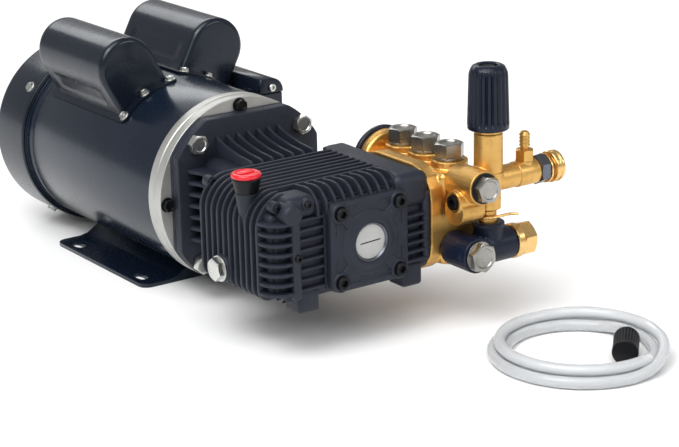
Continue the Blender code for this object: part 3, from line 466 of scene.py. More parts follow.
def rounded(low: Sequence[float], high: Sequence[float], radius: float,
            steps: int = 6) -> list[tuple[float, float]]:
    """Return a rounded rectangle's outline.

    Args:
        low: one corner.
        high: the opposite corner.
        radius: the corner radius.
        steps: segments at a corner.

    Returns:
        The points, counter-clockwise.
    """
    points: list[tuple[float, float]] = []
    corners = ((high[0] - radius, high[1] - radius), (low[0] + radius, high[1] - radius),
               (low[0] + radius, low[1] + radius), (high[0] - radius, low[1] + radius))
    for quarter, corner in enumerate(corners):
        points += arc(corner, radius, 90 * quarter, 90 * quarter + 90, steps)
    return points


def softened(points: Sequence[Sequence[float]], radius: float, steps: int = 3, closed: bool = False) -> list:
    """Round the corners of a run of points.

    Args:
        points: the corners, as pairs.
        radius: how far along each side a corner's curve reaches.
        steps: curve segments at a corner.
        closed: whether the run closes on itself.

    Returns:
        The rounded run.
    """
    count = len(points)
    made = []
    for i, point in enumerate(points):
        here = Vector((point[0], point[1]))
        if not closed and i in (0, count - 1):
            made.append((here.x, here.y))
            continue
        before = Vector(points[i - 1][:2]) - here
        after = Vector(points[(i + 1) % count][:2]) - here
        reach = min(radius, before.length * 0.48, after.length * 0.48)
        start = here + before.normalized() * reach
        end = here + after.normalized() * reach
        for k in range(steps + 1):
            t = k / steps
            curve = start * (1 - t) ** 2 + here * 2 * t * (1 - t) + end * t * t
            made.append((curve.x, curve.y))
    return made


CHAMFER_START = 0.97
CHAMFER_SLOPE = math.tan(math.radians(28))
QUARTER = math.radians(90)
WELD = 2e-6


def hexagonal(across_flats: float) -> Callable[[float], float]:
    """Return a hexagon's radius as a rule of the angle.

    Args:
        across_flats: its size.

    Returns:
        The rule.
    """
    def rule(turn: float) -> float:
        """Return the radius at an angle."""
        side = (turn + math.pi / 6) % (math.pi / 3) - math.pi / 6
        return across_flats / 2 / math.cos(side)
    return rule


class Shape:
    """Collects closed shells, placed in world metres, for one piece."""

    def __init__(self, name: str) -> None:
        """Start empty."""
        self.name = name
        self.shells = bmesh.new()

    def _take(self, shell: bmesh.types.BMesh, weld: float = 1e-7) -> None:
        """Weld a shell, face it outwards and add it.

        Args:
            shell: the shell, which is freed.
            weld: how close points are merged.
        """
        bmesh.ops.remove_doubles(shell, verts=shell.verts, dist=weld)
        bmesh.ops.recalc_face_normals(shell, faces=shell.faces)
        mesh = bpy.data.meshes.new("shell")
        shell.to_mesh(mesh)
        shell.free()
        self.shells.from_mesh(mesh)
        bpy.data.meshes.remove(mesh)

    def stack(self, rings: Sequence[Ring], place: Matrix, segments: int = 64,
              closed: bool = False) -> "Shape":
        """Skin rings round a placement's Z.

        Args:
            rings: (radius, height) pairs, each a number or a rule of the angle; radius 0 is a pole.
            place: the placement.
            segments: how many sides.
            closed: whether the last ring joins the first.

        Returns:
            The shape itself.
        """
        shell = bmesh.new()
        rows = []
        for radius, height in rings:
            if radius == 0:
                rows.append([shell.verts.new(place @ Vector((0, 0, height)))])
                continue
            row = []
            for i in range(segments):
                turn = math.tau * i / segments
                reach = radius(turn) if callable(radius) else radius
                rise = height(turn) if callable(height) else height
                row.append(shell.verts.new(place @ Vector((reach * math.cos(turn), reach * math.sin(turn),
                                                           rise))))
            rows.append(row)
        pairs = list(zip(rows, rows[1:]))
        if closed:
            pairs.append((rows[-1], rows[0]))
        for upper, lower in pairs:
            for i in range(segments):
                j = (i + 1) % segments
                corners = [upper[i % len(upper)], lower[i % len(lower)], lower[j % len(lower)],
                           upper[j % len(upper)]]
                unique = list(dict.fromkeys(corners))
                if len(unique) > 2:
                    shell.faces.new(unique)
        self._take(shell)
        return self

    def lathe(self, profile: Sequence[Sequence[float]], place: Matrix, segments: int = 64,
              soft: float = 0.0004, closed: bool = False, steps: int = 3) -> "Shape":
        """Turn a profile with rounded corners about a placement's Z."""
        points = softened(profile, soft, steps, closed) if soft else profile
        return self.stack([(max(radius, 0.0), height) for radius, height in points], place, segments, closed)

    def disc(self, radius: float, height: float, place: Matrix, segments: int = 64,
             soft: float = 0.0004) -> "Shape":
        """Add a round disc that rises from a placement.

        Args:
            radius: its radius.
            height: its height.
            place: the placement of its underside.
            segments: how many sides.
            soft: how far its edges are rounded.

        Returns:
            The shape itself.
        """
        profile = [(0, 0), (radius, 0), (radius, height), (0, height)]
        return self.lathe(profile, place, segments, soft)

    def band(self, inner: float, outer: float, start: float, end: float, place: Matrix, segments: int = 64,
             soft: float = 0.0004) -> "Shape":
        """Add a plain round band about a placement's Z.

        Args:
            inner: its inner radius.
            outer: its outer radius.
            start: the height of one end.
            end: the height of the other.
            place: the placement.
            segments: how many sides.
            soft: how far its edges are rounded.

        Returns:
            The shape itself.
        """
        profile = [(inner, start), (outer, start), (outer, end), (inner, end)]
        return self.lathe(profile, place, segments, soft, closed=True)

    def plate(self, outline: Sequence[Sequence[float]], thickness: float, place: Matrix, edge: float = 0.0004,
              holes: Sequence[Sequence[Sequence[float]]] = ()) -> "Shape":
        """Extrude an outline, centred on a placement's XY plane, with rounded edges.

        Args:
            outline: the outer points, anticlockwise.
            thickness: full thickness.
            place: the placement.
            edge: edge rounding.
            holes: inner outlines, anticlockwise too.

        Returns:
            The shape itself.
        """
        curve = bpy.data.curves.new("plate", "CURVE")
        curve.dimensions = "2D"
        curve.fill_mode = "BOTH"
        curve.extrude = thickness / 2 - edge
        curve.bevel_depth = edge
        curve.bevel_resolution = 1
        curve.offset = -edge
        for run in [list(outline)] + [list(reversed(hole)) for hole in holes]:
            spline = curve.splines.new("POLY")
            spline.points.add(len(run) - 1)
            for point, (u, v) in zip(spline.points, run):
                point.co = (u, v, 0.0, 1.0)
            spline.use_cyclic_u = True
        drawn = bpy.data.objects.new("plate", curve)
        bpy.context.scene.collection.objects.link(drawn)
        mesh = bpy.data.meshes.new_from_object(drawn)
        bpy.data.objects.remove(drawn, do_unlink=True)
        mesh.transform(place)
        shell = bmesh.new()
        shell.from_mesh(mesh)
        bpy.data.meshes.remove(mesh)
        self._take(shell, WELD)
        return self

    def block(self, low: Sequence[float], high: Sequence[float], edge: float = 0.0006,
              place: Matrix = Matrix(), segments: int = 2) -> "Shape":
        """Add a box with rounded edges between two corners.

        Args:
            low: one corner.
            high: the opposite corner.
            edge: the edge rounding.
            place: the placement of both corners.
            segments: segments at an edge.

        Returns:
            The shape itself.
        """
        low, high = Vector(low), Vector(high)
        shell = bmesh.new()
        bmesh.ops.create_cube(shell, size=1.0, matrix=Matrix.Translation((low + high) / 2)
                              @ Matrix.Diagonal((*(high - low), 1.0)))
        if edge:
            bmesh.ops.bevel(shell, geom=shell.edges[:], offset=edge, segments=segments, affect="EDGES",
                            profile=0.5)
        bmesh.ops.transform(shell, matrix=place, verts=shell.verts)
        self._take(shell)
        return self

    def hexagon(self, across_flats: float, height: float, place: Matrix, recess: float = 0.0,
                both: bool = False) -> "Shape":
        """Add a chamfered hexagonal head that rises from a placement.

        Args:
            across_flats: its size.
            height: its height.
            place: the placement of its underside.
            recess: how deep its top is dished.
            both: whether its underside is chamfered too.

        Returns:
            The shape itself.
        """
        side = hexagonal(across_flats)
        inner = across_flats / 2 * CHAMFER_START

        def top(turn: float) -> float:
            """Return the chamfer's height at an angle."""
            return height - (side(turn) - inner) * CHAMFER_SLOPE

        def bottom(turn: float) -> float:
            """Return the lower chamfer's height at an angle."""
            return (side(turn) - inner) * CHAMFER_SLOPE if both else 0.0

        rings: list[Ring] = [(0, 0.0), (inner, 0.0), (side, bottom), (side, top), (inner, height)]
        if recess:
            rings += [(inner * 0.80, height), (inner * 0.72, height - recess), (0, height - recess)]
        else:
            rings.append((0, height))
        return self.stack(rings, place, 48)

    def socket_screw(self, radius: float, height: float, place: Matrix) -> "Shape":
        """Add a socket screw's round head with its hexagon socket.

        Args:
            radius: the head's radius.
            height: the head's height.
            place: the placement of its underside.

        Returns:
            The shape itself.
        """
        hole = hexagonal(radius)
        rings: list[Ring] = [(0, 0.0), (radius, 0.0), (radius, height - 0.0006), (radius - 0.0006, height),
                             (hole, height), (hole, height * 0.35), (0, height * 0.35)]
        return self.stack(rings, place, 36)

    def tube(self, path: Sequence[Vector], radius: float, inner: float = 0.0, segments: int = 12) -> "Shape":
        """Sweep a round section, hollow when it has an inner radius, along a path.

        Args:
            path: the middle of the section.
            radius: the outer radius.
            inner: the inner radius, or 0 for a solid rod.
            segments: how many sides.

        Returns:
            The shape itself.
        """
        count = len(path)
        tangents = [(path[min(i + 1, count - 1)] - path[max(i - 1, 0)]).normalized() for i in range(count)]
        side = tangents[0].orthogonal().normalized()
        shell = bmesh.new()
        outer_rows, inner_rows = [], []
        for point, tangent in zip(path, tangents):
            side = (side - tangent * side.dot(tangent)).normalized()
            across = tangent.cross(side)
            around = [side * math.cos(math.tau * i / segments) + across * math.sin(math.tau * i / segments)
                      for i in range(segments)]
            outer_rows.append([shell.verts.new(point + d * radius) for d in around])
            if inner:
                inner_rows.append([shell.verts.new(point + d * inner) for d in around])
        rows = outer_rows + inner_rows[::-1]
        pairs = list(zip(rows, rows[1:]))
        if inner:
            pairs.append((rows[-1], rows[0]))
        for upper, lower in pairs:
            for i in range(segments):
                j = (i + 1) % segments
                shell.faces.new((upper[i], lower[i], lower[j], upper[j]))
        if not inner:
            shell.faces.new(rows[0])
            shell.faces.new(rows[-1])
        self._take(shell)
        return self

    def loft(self, rows: Sequence[Sequence[Vector]]) -> "Shape":
        """Skin a run of closed sections and cap both ends.

        Args:
            rows: the sections, all with the same number of points.

        Returns:
            The shape itself.
        """
        shell = bmesh.new()
        made = [[shell.verts.new(point) for point in row] for row in rows]
        count = len(made[0])
        for upper, lower in zip(made, made[1:]):
            for i in range(count):
                j = (i + 1) % count
                shell.faces.new((upper[i], lower[i], lower[j], upper[j]))
        shell.faces.new(made[0])
        shell.faces.new(made[-1])
        self._take(shell)
        return self

    def mesh(self, smooth: float = 34.0) -> bpy.types.Mesh:
        """Return the shells as one mesh, smooth up to an angle in degrees.

        Args:
            smooth: the angle.

        Returns:
            The mesh.
        """
        mesh = bpy.data.meshes.new(self.name)
        self.shells.to_mesh(mesh)
        self.shells.free()
        shade(mesh, smooth)
        return mesh

    def piece(self, finish: Finish, body: str = BASE, nodes: Sequence[str] = (), slot: Optional[str] = None,
              smooth: float = 34.0) -> bpy.types.Object:
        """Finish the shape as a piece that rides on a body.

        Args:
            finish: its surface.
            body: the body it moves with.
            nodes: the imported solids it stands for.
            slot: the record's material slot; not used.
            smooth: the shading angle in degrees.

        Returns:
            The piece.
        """
        return settle(make_object(self.name, self.mesh(smooth)), finish, body, nodes)


def shade(mesh: bpy.types.Mesh, smooth: float) -> None:
    """Shade a mesh smooth, keeping edges above an angle sharp."""
    mesh.shade_smooth()
    mesh.set_sharp_from_angle(angle=math.radians(smooth))


def make_object(name: str, mesh: bpy.types.Mesh) -> bpy.types.Object:
    """Link a new object for a mesh.

    Args:
        name: the object's name.
        mesh: its mesh.

    Returns:
        The object.
    """
    made = bpy.data.objects.new(name, mesh)
    bpy.context.scene.collection.objects.link(made)
    return made


def settle(made: bpy.types.Object, finish: Finish, body: str, nodes: Sequence[str] = ()) -> bpy.types.Object:
    """Give a piece its finish, body and the solids it stands for.

    Args:
        made: the piece.
        finish: its surface.
        body: the body it moves with.
        nodes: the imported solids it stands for.

    Returns:
        The piece.
    """
    made.data.materials.clear()
    made.data.materials.append(finish.material())
    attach(made, body)
    if nodes:
        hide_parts(*nodes)
        REPLACED.update(nodes)
    LOG.info("%-24s rides on %-16s %6d faces", made.name, body, len(made.data.polygons))
    return made


def dressed(node: str, edge: float, finish: Optional[Finish] = None, segments: int = 2, angle: float = 32.0,
            name: Optional[str] = None) -> bpy.types.Object:
    """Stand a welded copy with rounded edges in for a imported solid.

    Args:
        node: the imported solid.
        edge: the edge rounding.
        finish: its surface; the slot's own finish when left out.
        segments: bevel segments.
        angle: the least angle of an edge that is rounded, in degrees.
        name: the piece's name.

    Returns:
        The piece.
    """
    source = frame["nodes"][node]
    mesh = source.data.copy()
    mesh.name = name or "dressed_" + node
    work = bmesh.new()
    work.from_mesh(mesh)
    bmesh.ops.remove_doubles(work, verts=work.verts, dist=WELD)
    bmesh.ops.dissolve_limit(work, angle_limit=math.radians(0.6), verts=work.verts, edges=work.edges)
    work.to_mesh(mesh)
    work.free()
    shade(mesh, 60.0)
    made = make_object(mesh.name, mesh)
    slot = slots_by_node()[node]
    if edge:
        bevel = made.modifiers.new("edges", "BEVEL")
        bevel.width = edge
        bevel.segments = segments
        bevel.limit_method = "ANGLE"
        bevel.angle_limit = math.radians(angle)
        bevel.harden_normals = True
    return settle(made, finish or SLOT_FINISHES[slot], source["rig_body"], [node])


def slots_by_node() -> dict[str, str]:
    """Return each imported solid's material slot."""
    return {entry["node"]: entry["material_slot"] for entry in frame["record"]["subparts"]}


# ---------------------------------------------------------------- rule-made shapes
def new_group(name: str, sockets: Sequence[tuple[str, str]]) -> tuple[Graph, bpy.types.Node]:
    """Start a Geometry Nodes tree.

    Args:
        name: the tree's name.
        sockets: the names and types of its inputs, after its geometry.

    Returns:
        The graph and its input node.
    """
    tree = bpy.data.node_groups.new(name, "GeometryNodeTree")
    tree.interface.new_socket("Geometry", in_out="INPUT", socket_type="NodeSocketGeometry")
    for label, kind in sockets:
        tree.interface.new_socket(label, in_out="INPUT", socket_type="NodeSocket" + kind)
    tree.interface.new_socket("Geometry", in_out="OUTPUT", socket_type="NodeSocketGeometry")
    graph = Graph(tree)
    return graph, graph.node("NodeGroupInput")


def end_group(graph: Graph, geometry: bpy.types.NodeSocket,
              finish: bpy.types.NodeSocket) -> bpy.types.NodeTree:
    """Realize, set the material and close a tree.

    Args:
        graph: the graph.
        geometry: its result.
        finish: its material input.

    Returns:
        The tree.
    """
    real = graph.node("GeometryNodeRealizeInstances", None, {"Geometry": geometry})
    dressed_up = graph.node("GeometryNodeSetMaterial", None, {"Geometry": real.outputs[0],
                                                              "Material": finish})
    graph.node("NodeGroupOutput", None, {"Geometry": dressed_up.outputs[0]})
    return graph.tree


def repeat_tree() -> bpy.types.NodeTree:
    """Return the tree that copies a mesh along a row and round a ring.

    Returns:
        The tree.
    """
    found = bpy.data.node_groups.get("repeat")
    if found is not None:
        return found
    graph, entry = new_group("repeat", (("Count", "Int"), ("Center", "Vector"), ("Step", "Vector"),
                                        ("Turn", "Vector"), ("First Turn", "Vector"), ("Finish", "Material")))
    line = graph.node("GeometryNodeMeshLine", {"mode": "OFFSET"}, {"Count": entry.outputs["Count"],
                                                                   "Start Location": entry.outputs["Center"],
                                                                   "Offset": entry.outputs["Step"]})
    index = graph.node("GeometryNodeInputIndex")
    turned = graph.node("ShaderNodeVectorMath", {"operation": "MULTIPLY_ADD"}, {
        0: entry.outputs["Turn"], 1: index.outputs[0], 2: entry.outputs["First Turn"]})
    copies = graph.node("GeometryNodeInstanceOnPoints", None, {
        "Points": line.outputs[0], "Instance": entry.outputs["Geometry"], "Rotation": turned.outputs[0]})
    return end_group(graph, copies.outputs[0], entry.outputs["Finish"])


def flute_tree() -> bpy.types.NodeTree:
    """Return the tree that cuts rounded flutes round an upright turned body.

    Returns:
        The tree.
    """
    graph, entry = new_group("flutes", (
        ("Flutes", "Float"), ("Depth", "Float"), ("Low", "Float"), ("High", "Float"), ("Finish", "Material")))
    place = graph.node("GeometryNodeInputPosition")
    split = graph.node("ShaderNodeSeparateXYZ", None, {0: place.outputs[0]})
    x, y, z = (Value(graph, socket) for socket in split.outputs)
    angle = graph.value("ShaderNodeMath", 0, {"operation": "ARCTAN2"}, {0: y, 1: x})
    flutes = Value(graph, entry.outputs["Flutes"])
    wave = (1 - (angle * flutes).cosine()) * 0.5
    low = graph.value("ShaderNodeMapRange", 0, {"interpolation_type": "SMOOTHSTEP"}, {
        "Value": z, "From Min": entry.outputs["Low"], "From Max": Value(graph, entry.outputs["Low"]) + 0.003})
    high = graph.value("ShaderNodeMapRange", 0, {"interpolation_type": "SMOOTHSTEP"},
                       {"Value": z, "From Min": Value(graph, entry.outputs["High"]) - 0.002,
                        "From Max": entry.outputs["High"]})
    depth = wave ** 1.6 * low * (1 - high) * Value(graph, entry.outputs["Depth"])
    radius = (x * x + y * y) ** 0.5
    scale = 1 - depth / graph.value("ShaderNodeMath", 0, {"operation": "MAXIMUM"}, {0: radius, 1: 0.004})
    outer = graph.value("ShaderNodeMath", 0, {"operation": "GREATER_THAN"}, {0: radius, 1: 0.0135})
    kept = 1 - outer * (1 - scale)
    moved = graph.node("ShaderNodeCombineXYZ", None, {0: x * kept, 1: y * kept, 2: z})
    placed = graph.node("GeometryNodeSetPosition", None, {
        "Geometry": entry.outputs["Geometry"], "Position": moved.outputs[0]})
    return end_group(graph, placed.outputs[0], entry.outputs["Finish"])


def grown(mesh: bpy.types.Mesh, tree: bpy.types.NodeTree, finish: Finish, smooth: float = 34.0,
          **values: Any) -> bpy.types.Mesh:
    """Run a tree over a mesh and return the plain result.

    Args:
        mesh: what goes in.
        tree: the Geometry Nodes tree.
        finish: the surface that it sets.
        smooth: the shading angle in degrees.
        values: the tree's inputs, underscores standing for spaces.

    Returns:
        The new mesh.
    """
    carrier = make_object(mesh.name + "_source", mesh)
    step = carrier.modifiers.new("grow", "NODES")
    step.node_group = tree
    wanted = {name.replace("_", " "): value for name, value in values.items()}
    wanted["Finish"] = finish.material()
    for item in tree.interface.items_tree:
        if item.item_type == "SOCKET" and item.in_out == "INPUT" and item.name in wanted:
            step[item.identifier] = wanted[item.name]
    depsgraph = bpy.context.evaluated_depsgraph_get()
    result = bpy.data.meshes.new_from_object(carrier.evaluated_get(depsgraph), depsgraph=depsgraph)
    bpy.data.objects.remove(carrier, do_unlink=True)
    shade(result, smooth)
    return result


def repeated(shape: Shape, finish: Finish, count: int, center: Sequence[float] = (0, 0, 0),
             step: Sequence[float] = (0, 0, 0), turn: Sequence[float] = (0, 0, 0),
             first: Sequence[float] = (0, 0, 0), body: str = BASE, nodes: Sequence[str] = ()) -> bpy.types.Object:
    """Make a piece from copies of a shape, which is modelled round the center.

    Args:
        shape: what is repeated.
        finish: its surface.
        count: how many.
        center: where the first copy's origin goes.
        step: from each copy to the next.
        turn: rotation from each copy to the next, in radians about X, Y and Z.
        first: the first copy's rotation.
        body: the body that the piece rides on.
        nodes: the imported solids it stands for.

    Returns:
        The piece.
    """
    name = shape.name
    mesh = grown(shape.mesh(), repeat_tree(), finish, Count=count, Center=tuple(center), Step=tuple(step),
                 Turn=tuple(turn), First_Turn=tuple(first))
    mesh.name = name
    return settle(make_object(name, mesh), finish, body, nodes)


# ---------------------------------------------------------------- sub-assemblies
SHAFT = Vector((0, 0, 0.0889))
FRONT = Vector((0, -1, 0))
BACK = Vector((0, 1, 0))
RIGHT = Vector((1, 0, 0))
UP = Vector((0, 0, 1))

# Stations that more than one sub-assembly shares, heights being above the shaft.
CYLINDERS = (-0.2333, -0.265, -0.2967)
FILLER = (-0.084, -0.271, 0.0455)
DRAIN = (-0.242, -0.023)
COLUMN_X = 0.110
COLUMN_Y = -0.332
BARB_X = 0.1483
OUTLET_HEIGHT = 0.033


def at(x: float, y: float, height: float) -> Vector:
    """Return a point from its height above the shaft."""
    return Vector((x, y, SHAFT.z + height))


@dataclass
class Studio:
    """Camera, floor and soft lights."""

    lens: float = 109.49
    centre: tuple[float, float, float] = (-0.9107, -1.5875, 0.5970)
    azimuth: float = -34.79
    elevation: float = 17.51
    roll: float = -1.29
    floor_reach: float = 40.0
    daylight: float = 0.36

    def build(self) -> None:
        """Place the camera, the floor and the lights."""
        scene = bpy.context.scene
        scene.view_settings.view_transform = "Standard"
        azimuth, elevation, roll = (math.radians(v) for v in (self.azimuth, self.elevation, self.roll))
        back = Vector((math.sin(azimuth) * math.cos(elevation), -math.cos(azimuth) * math.cos(elevation),
                       math.sin(elevation)))
        right = Vector((math.cos(azimuth), math.sin(azimuth), 0))
        up = back.cross(right)
        level_right = right * math.cos(roll) + up * math.sin(roll)
        level_up = up * math.cos(roll) - right * math.sin(roll)
        camera = bpy.data.objects.new("camera", bpy.data.cameras.new("camera"))
        camera.data.lens = self.lens
        camera.data.sensor_width = 36.0
        camera.data.clip_start = 0.01
        camera.matrix_world = Matrix.Translation(Vector(self.centre)) @ Matrix(
            (level_right, level_up, back)).transposed().to_4x4()
        scene.collection.objects.link(camera)
        scene.camera = camera

        floor_mesh = bpy.data.meshes.new("floor")
        reach = self.floor_reach
        floor_mesh.from_pydata([(-reach, -reach, 0), (reach, -reach, 0), (reach, reach, 0),
                                (-reach, reach, 0)], [], [(0, 1, 2, 3)])
        floor = make_object("floor", floor_mesh)
        paint = Paint("pale_floor")
        paint.link("Base Color", paint.blend(paint.noise(3, 2), (0.93, 0.93, 0.93), (0.91, 0.91, 0.91)))
        paint.constant(Roughness=0.55, Specular_IOR_Level=0.25)
        floor_mesh.materials.append(paint.material)

        world = bpy.data.worlds.new("studio")
        world.use_nodes = True
        ground = world.node_tree.nodes["Background"]
        ground.inputs["Color"].default_value = (1.0, 1.0, 1.0, 1.0)
        ground.inputs["Strength"].default_value = self.daylight
        scene.world = world
        self._sun("top_light", (-0.55, -0.35, 1.0), 2.5, 60.0)
        self._light("key_box", (-1.1, -0.5, 1.7), (0.0, -0.1, 0.05), 1.2, 0.5, 13.0)
        self._light("fill_box", (0.9, -1.7, 1.0), (0.05, -0.3, 0.05), 0.8, 0.5, 6.0)
        self._light("rim_box", (0.4, 1.6, 1.3), (0.0, 0.0, 0.1), 1.6, 0.4, 8.0)

    def _sun(self, name: str, place: Sequence[float], strength: float, spread: float) -> None:
        """Add one broad overhead light, shining from a direction.

        Args:
            name: the light's name.
            place: the direction that it shines from.
            strength: its strength.
            spread: its apparent size, in degrees.
        """
        lamp = bpy.data.lights.new(name, "SUN")
        lamp.energy = strength
        lamp.angle = math.radians(spread)
        shining = bpy.data.objects.new(name, lamp)
        shining.matrix_world = Vector(place).to_track_quat("Z", "Y").to_matrix().to_4x4()
        bpy.context.scene.collection.objects.link(shining)

    def _light(self, name: str, place: Sequence[float], target: Sequence[float], width: float, height: float,
               power: float) -> None:
        """Add one softbox.

        Args:
            name: the light's name.
            place: where it stands.
            target: what it points at.
            width: its width.
            height: its height.
            power: its power, in watts.
        """
        lamp = bpy.data.lights.new(name, "AREA")
        lamp.shape = "RECTANGLE"
        lamp.size = width
        lamp.size_y = height
        lamp.energy = power
        box = bpy.data.objects.new(name, lamp)
        aim = (Vector(place) - Vector(target)).to_track_quat("Z", "Y").to_matrix().to_4x4()
        box.matrix_world = Matrix.Translation(Vector(place)) @ aim
        bpy.context.scene.collection.objects.link(box)


@dataclass
class SuctionHose:
    """Clear suction hose in a flat coil with its strainer."""

    center: tuple[float, float] = (0.1155, -0.440)
    radius: float = 0.0047
    bore: float = 0.0034
    inner_turn: float = 0.0585
    outer_turn: float = 0.0690
    top_turn: float = 0.0635
    lead_start: tuple[float, float] = (0.0441, -9.7)
    lead_end: float = 41.0
    lead_swing: float = 0.0276
    lead_height: float = 0.0059
    step_out: tuple[float, float] = (321, 401)
    step_in: tuple[float, float] = (640, 700)
    climb: tuple[float, float] = (620, 685)
    climb_height: float = 0.0097
    sag: tuple[float, float] = (760, 800)
    sag_depth: float = 0.0014
    end_angle: float = 1004.0
    strainer_radius: float = 0.0105

    def _ease(self, angle: float, start: float, end: float) -> float:
        """Return a smooth 0 to 1 between two angles."""
        t = min(max((angle - start) / (end - start), 0.0), 1.0)
        return t * t * (3 - 2 * t)

    def _point(self, angle: float) -> Vector:
        """Return the hose's middle at an angle in degrees, counted through the turns.

        Args:
            angle: the angle.

        Returns:
            The point.
        """
        start_radius, start = self.lead_start
        t = min(max((angle - start) / (self.lead_end - start), 0.0), 1.0)
        swing = t ** 3 - 2 * t ** 2 + t
        radius = start_radius + self.lead_swing * swing
        radius += (self.inner_turn - start_radius) * t * t * (3 - 2 * t)
        radius += (self.outer_turn - self.inner_turn) * self._ease(angle, *self.step_out)
        radius += (self.top_turn - self.outer_turn) * self._ease(angle, *self.step_in)
        height = self.radius + 0.0002 + self.lead_height * (1 - self._ease(angle, start, self.lead_end))
        sunk = self.sag_depth * self._ease(angle, *self.sag)
        height += self.climb_height * self._ease(angle, *self.climb) - sunk
        turn = math.radians(angle)
        return Vector((self.center[0] + radius * math.cos(turn), self.center[1] + radius * math.sin(turn),
                       height))

    def build(self) -> None:
        """Make the strainer and the hose."""
        outward = Vector((1, -1, 0)).normalized()
        along = Vector((1, 1, 0)).normalized()
        middle_of = Vector((*self.center, self.strainer_radius + 0.0003)) + outward * 0.036
        strainer = self._strainer(middle_of, along)
        start, end = self.lead_start[1], self.end_angle
        count = 220
        nut_end = middle_of + along * 0.0255
        path = [nut_end - along * 0.004, nut_end - along * 0.002]
        path += [self._point(start + (end - start) * i / count) for i in range(count + 1)]
        hose = Shape("suction_hose_tube")
        hose.tube(path, self.radius, self.bore, 20)
        piece = hose.piece(VINYL, "suction_hose", ["hose_coil", "hose_lead"], "clear_vinyl", 60)

    def _strainer(self, middle_of: Vector, along: Vector) -> list[bpy.types.Object]:
        """Make the strainer's slotted body and its hose nut.

        Args:
            middle_of: its middle.
            along: the way that its hose leaves.

        Returns:
            Its pieces.
        """
        tail = aimed(middle_of - along * 0.0165, along)
        radius = self.strainer_radius
        core = Shape("strainer_core")
        core.lathe([(0, 0), (radius - 0.0008, 0), (radius, 0.001), (radius, 0.004), (radius - 0.0018, 0.0045),
                    (radius - 0.0018, 0.0285), (radius, 0.029), (radius, 0.0320), (radius - 0.0009, 0.033),
                    (0, 0.033)], tail, 40)
        body = core.piece(SOOT_PLASTIC, "suction_hose", ["suction_filter"], "black_plastic")
        bar = Shape("strainer_bars")
        bar.block((radius - 0.0026, -0.0006, 0.0042), (radius - 0.0001, 0.0006, 0.0292), 0.00025, segments=1)
        rings = Shape("strainer_rings")
        rings.lathe([(radius - 0.0022, -0.0006), (radius - 0.0004, -0.0006), (radius - 0.0004, 0.0006),
                     (radius - 0.0022, 0.0006)], Matrix(), 40, 0.0002, closed=True, steps=1)
        bars = grown(bar.mesh(), repeat_tree(), SOOT_PLASTIC, Count=26, Turn=(0, 0, math.tau / 26))
        bars.transform(tail)
        bars_piece = settle(make_object("strainer_bars", bars), SOOT_PLASTIC, "suction_hose")
        hoops = grown(rings.mesh(), repeat_tree(), SOOT_PLASTIC, Count=6, Center=(0, 0, 0.0079),
                      Step=(0, 0, 0.0036))
        hoops.transform(tail)
        hoops_piece = settle(make_object("strainer_rings", hoops), SOOT_PLASTIC, "suction_hose")
        nut = Shape("strainer_nut")
        nut.hexagon(0.012, 0.0055, aimed(middle_of + along * 0.0162, along))
        nut.band(0.0015, 0.0030, 0.020, 0.0320, aimed(middle_of, along), 24, 0.0003)
        nut_piece = nut.piece(ZINC, "suction_hose")
        return [body, bars_piece, hoops_piece, nut_piece]


